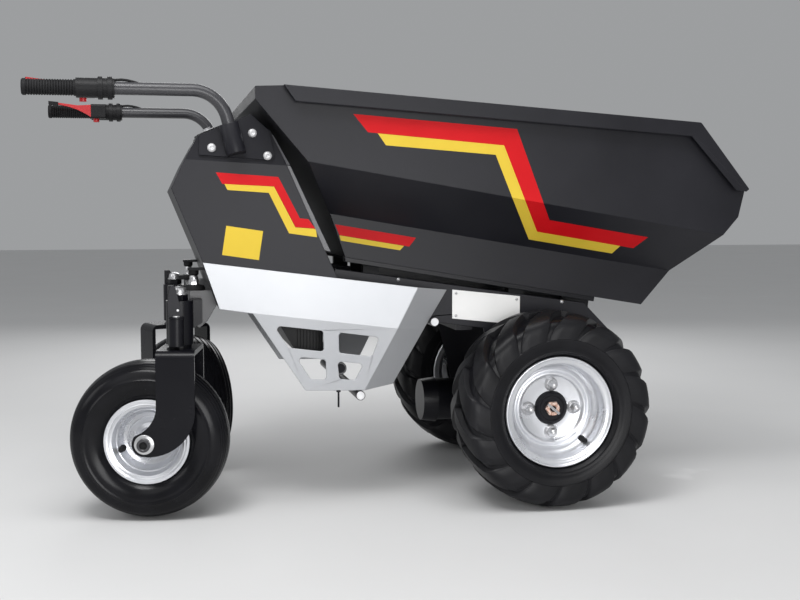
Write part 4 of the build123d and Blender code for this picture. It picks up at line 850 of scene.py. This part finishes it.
def angled_foot(form, length, side):
    """Lift a sleeve's foot and cut it at an angle."""
    verts, faces = form
    half = length / 2
    cut = [h + FOOT_LIFT - FOOT_CUT * side * x / SLEEVE_R if h < half else h for x, y, h in verts]
    return [(x, y, h) for (x, y, old), h in zip(verts, cut)], faces


def mount_plate(side):
    """Plate on the console's upper facet with a broken outer edge."""
    n = len(MOUNT)
    middle_x = sum(x for x, z in MOUNT) / n
    middle_z = sum(z for x, z in MOUNT) / n
    inner = [
        (middle_x + (x - middle_x) * PLATE_IN_X, middle_z + (z - middle_z) * PLATE_IN_Z) for x, z in MOUNT
    ]
    layers = ((MOUNT, PLATE_SINK), (MOUNT, PLATE_T - PLATE_EDGE), (inner, PLATE_T))
    verts = [lean_point(x, z, side, lift)[0] / MM for outline, lift in layers for x, z in outline]
    faces = [[r * n + i for i in wall] for r in (0, 1) for wall in walls(n)]
    return verts, [*faces, list(range(n)), list(range(2 * n, 3 * n))]


# Lever tips and control cables held along the handles
LEVER_Y, LEVER_T, TIP_OVER = 268.0, 10.0, 0.8
LEVER_TIP = [(-1048.0, 866.5), (-1048.0, 874.4), (-1026.0, 872.4), (-1026.0, 863.6)]
CABLE = [(-886.0, 866.5), (-876.0, 869.0), (-866.0, 869.6), (-856.0, 868.6), (-846.0, 866.4), (-834.0, 863.0)]
CABLE_R = 2.6
for side_name, side in SIDES.items():
    foot = aft(SOCKET_FOOT[0], side * HANDLE_Y, SOCKET_FOOT[1])
    top = aft(SOCKET_TOP[0], side * HANDLE_Y, SOCKET_TOP[1])
    length = (top - foot).length / MM
    tube = lathe([*[(r, length + h) for r, h in SLEEVE_MOUTH], *SLEEVE_FOOT], SLEEVE_COUNT)
    # The disc closing the foot takes the darker frame coat: painted shade for the inside of the open socket.
    looks = [COAT] * (len(tube[1]) - SLEEVE_COUNT) + [FOOT_SHADE] * SLEEVE_COUNT
    sleeve = Shape()
    sleeve.add(angled_foot(tube, length, side), facing(foot, top - foot), looks)
    sleeve.add(mount_plate(side))
    piece = sleeve.piece(f"bolted_mount_{side_name}", "chassis", "charcoal", charcoal, frame_black)
    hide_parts(f"handle_mount_{side_name}")

    ends = Shape()
    ends.add(across(LEVER_TIP, *span(side, LEVER_Y - LEVER_T - TIP_OVER, LEVER_Y + TIP_OVER)), AXLE_FRAME)
    ends.add(sweep([(x, side * HANDLE_Y, z) for x, z in CABLE], CABLE_R), AXLE_FRAME)
    ends.piece(f"control_ends_{side_name}", "chassis", "rubber_black", soft_rubber)

# Battery gauge and key switch on the dash
DASH_TILT = Vector((-29.0, 0.0, 68.0)).normalized()  # out of the sloping panel
GAUGE_Y, KEY_Y = 52.0, -46.0
GAUGE = [(26.0, -0.5), (26.0, 3.5), (24.6, 5.0), (22.6, 5.0), (21.6, 3.6), (0, 3.6)]
GAUGE_FACE, FACE_LOW, FACE_HIGH = [(-15.0, -9.0), (15.0, -9.0), (15.0, 9.0), (-15.0, 9.0)], 3.0, 4.2
KEY_RING = [(14.0, -0.5), (14.0, 3.0), (12.6, 4.4), (9.0, 4.4), (9.0, 7.0), (8.0, 8.0), (0, 8.0)]
# The key slot is a dark plastic bar: painted shade standing in for the keyway's hollow.
KEY_SLOT, SLOT_LOW, SLOT_HIGH = [(-1.6, -4.0), (1.6, -4.0), (1.6, 4.0), (-1.6, 4.0)], 7.6, 9.0
dash_low, dash_high = (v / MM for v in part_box("dash_panel"))
dash_points = [v.co / MM for v in nodes["dash_panel"].data.vertices]
dash_face = max(p.dot(DASH_TILT) for p in dash_points)
dash_middle = (dash_low + dash_high) / 2
dash_middle += DASH_TILT * (dash_face - dash_middle.dot(DASH_TILT))
gauge = facing((dash_middle + Vector((0.0, GAUGE_Y, 0.0))) * MM, DASH_TILT)
key = facing((dash_middle + Vector((0.0, KEY_Y, 0.0))) * MM, DASH_TILT)
dash = Shape()
dash.add(lathe(GAUGE, 48), gauge)
dash.add(prism(GAUGE_FACE, FACE_LOW, FACE_HIGH), gauge, 1)
dash.add(lathe(KEY_RING, 36), key, 2)
# Dark bar for the key slot: painted shade of the keyway.
dash.add(prism(KEY_SLOT, SLOT_LOW, SLOT_HIGH), key)
dash.piece("dash_fittings", "chassis", "box_black", plastic, tube_grey, steel)

# Studio floor
floor_look = speckled("studio_floor", (0.66, 0.66, 0.66), (0.68, 0.68, 0.68), 0.7, patch=2.0, bump=0.0)
bpy.ops.mesh.primitive_plane_add(size=30.0, location=(0, 0, 0))
floor = bpy.context.object
floor.name = "studio_floor"
floor.data.materials.append(floor_look)
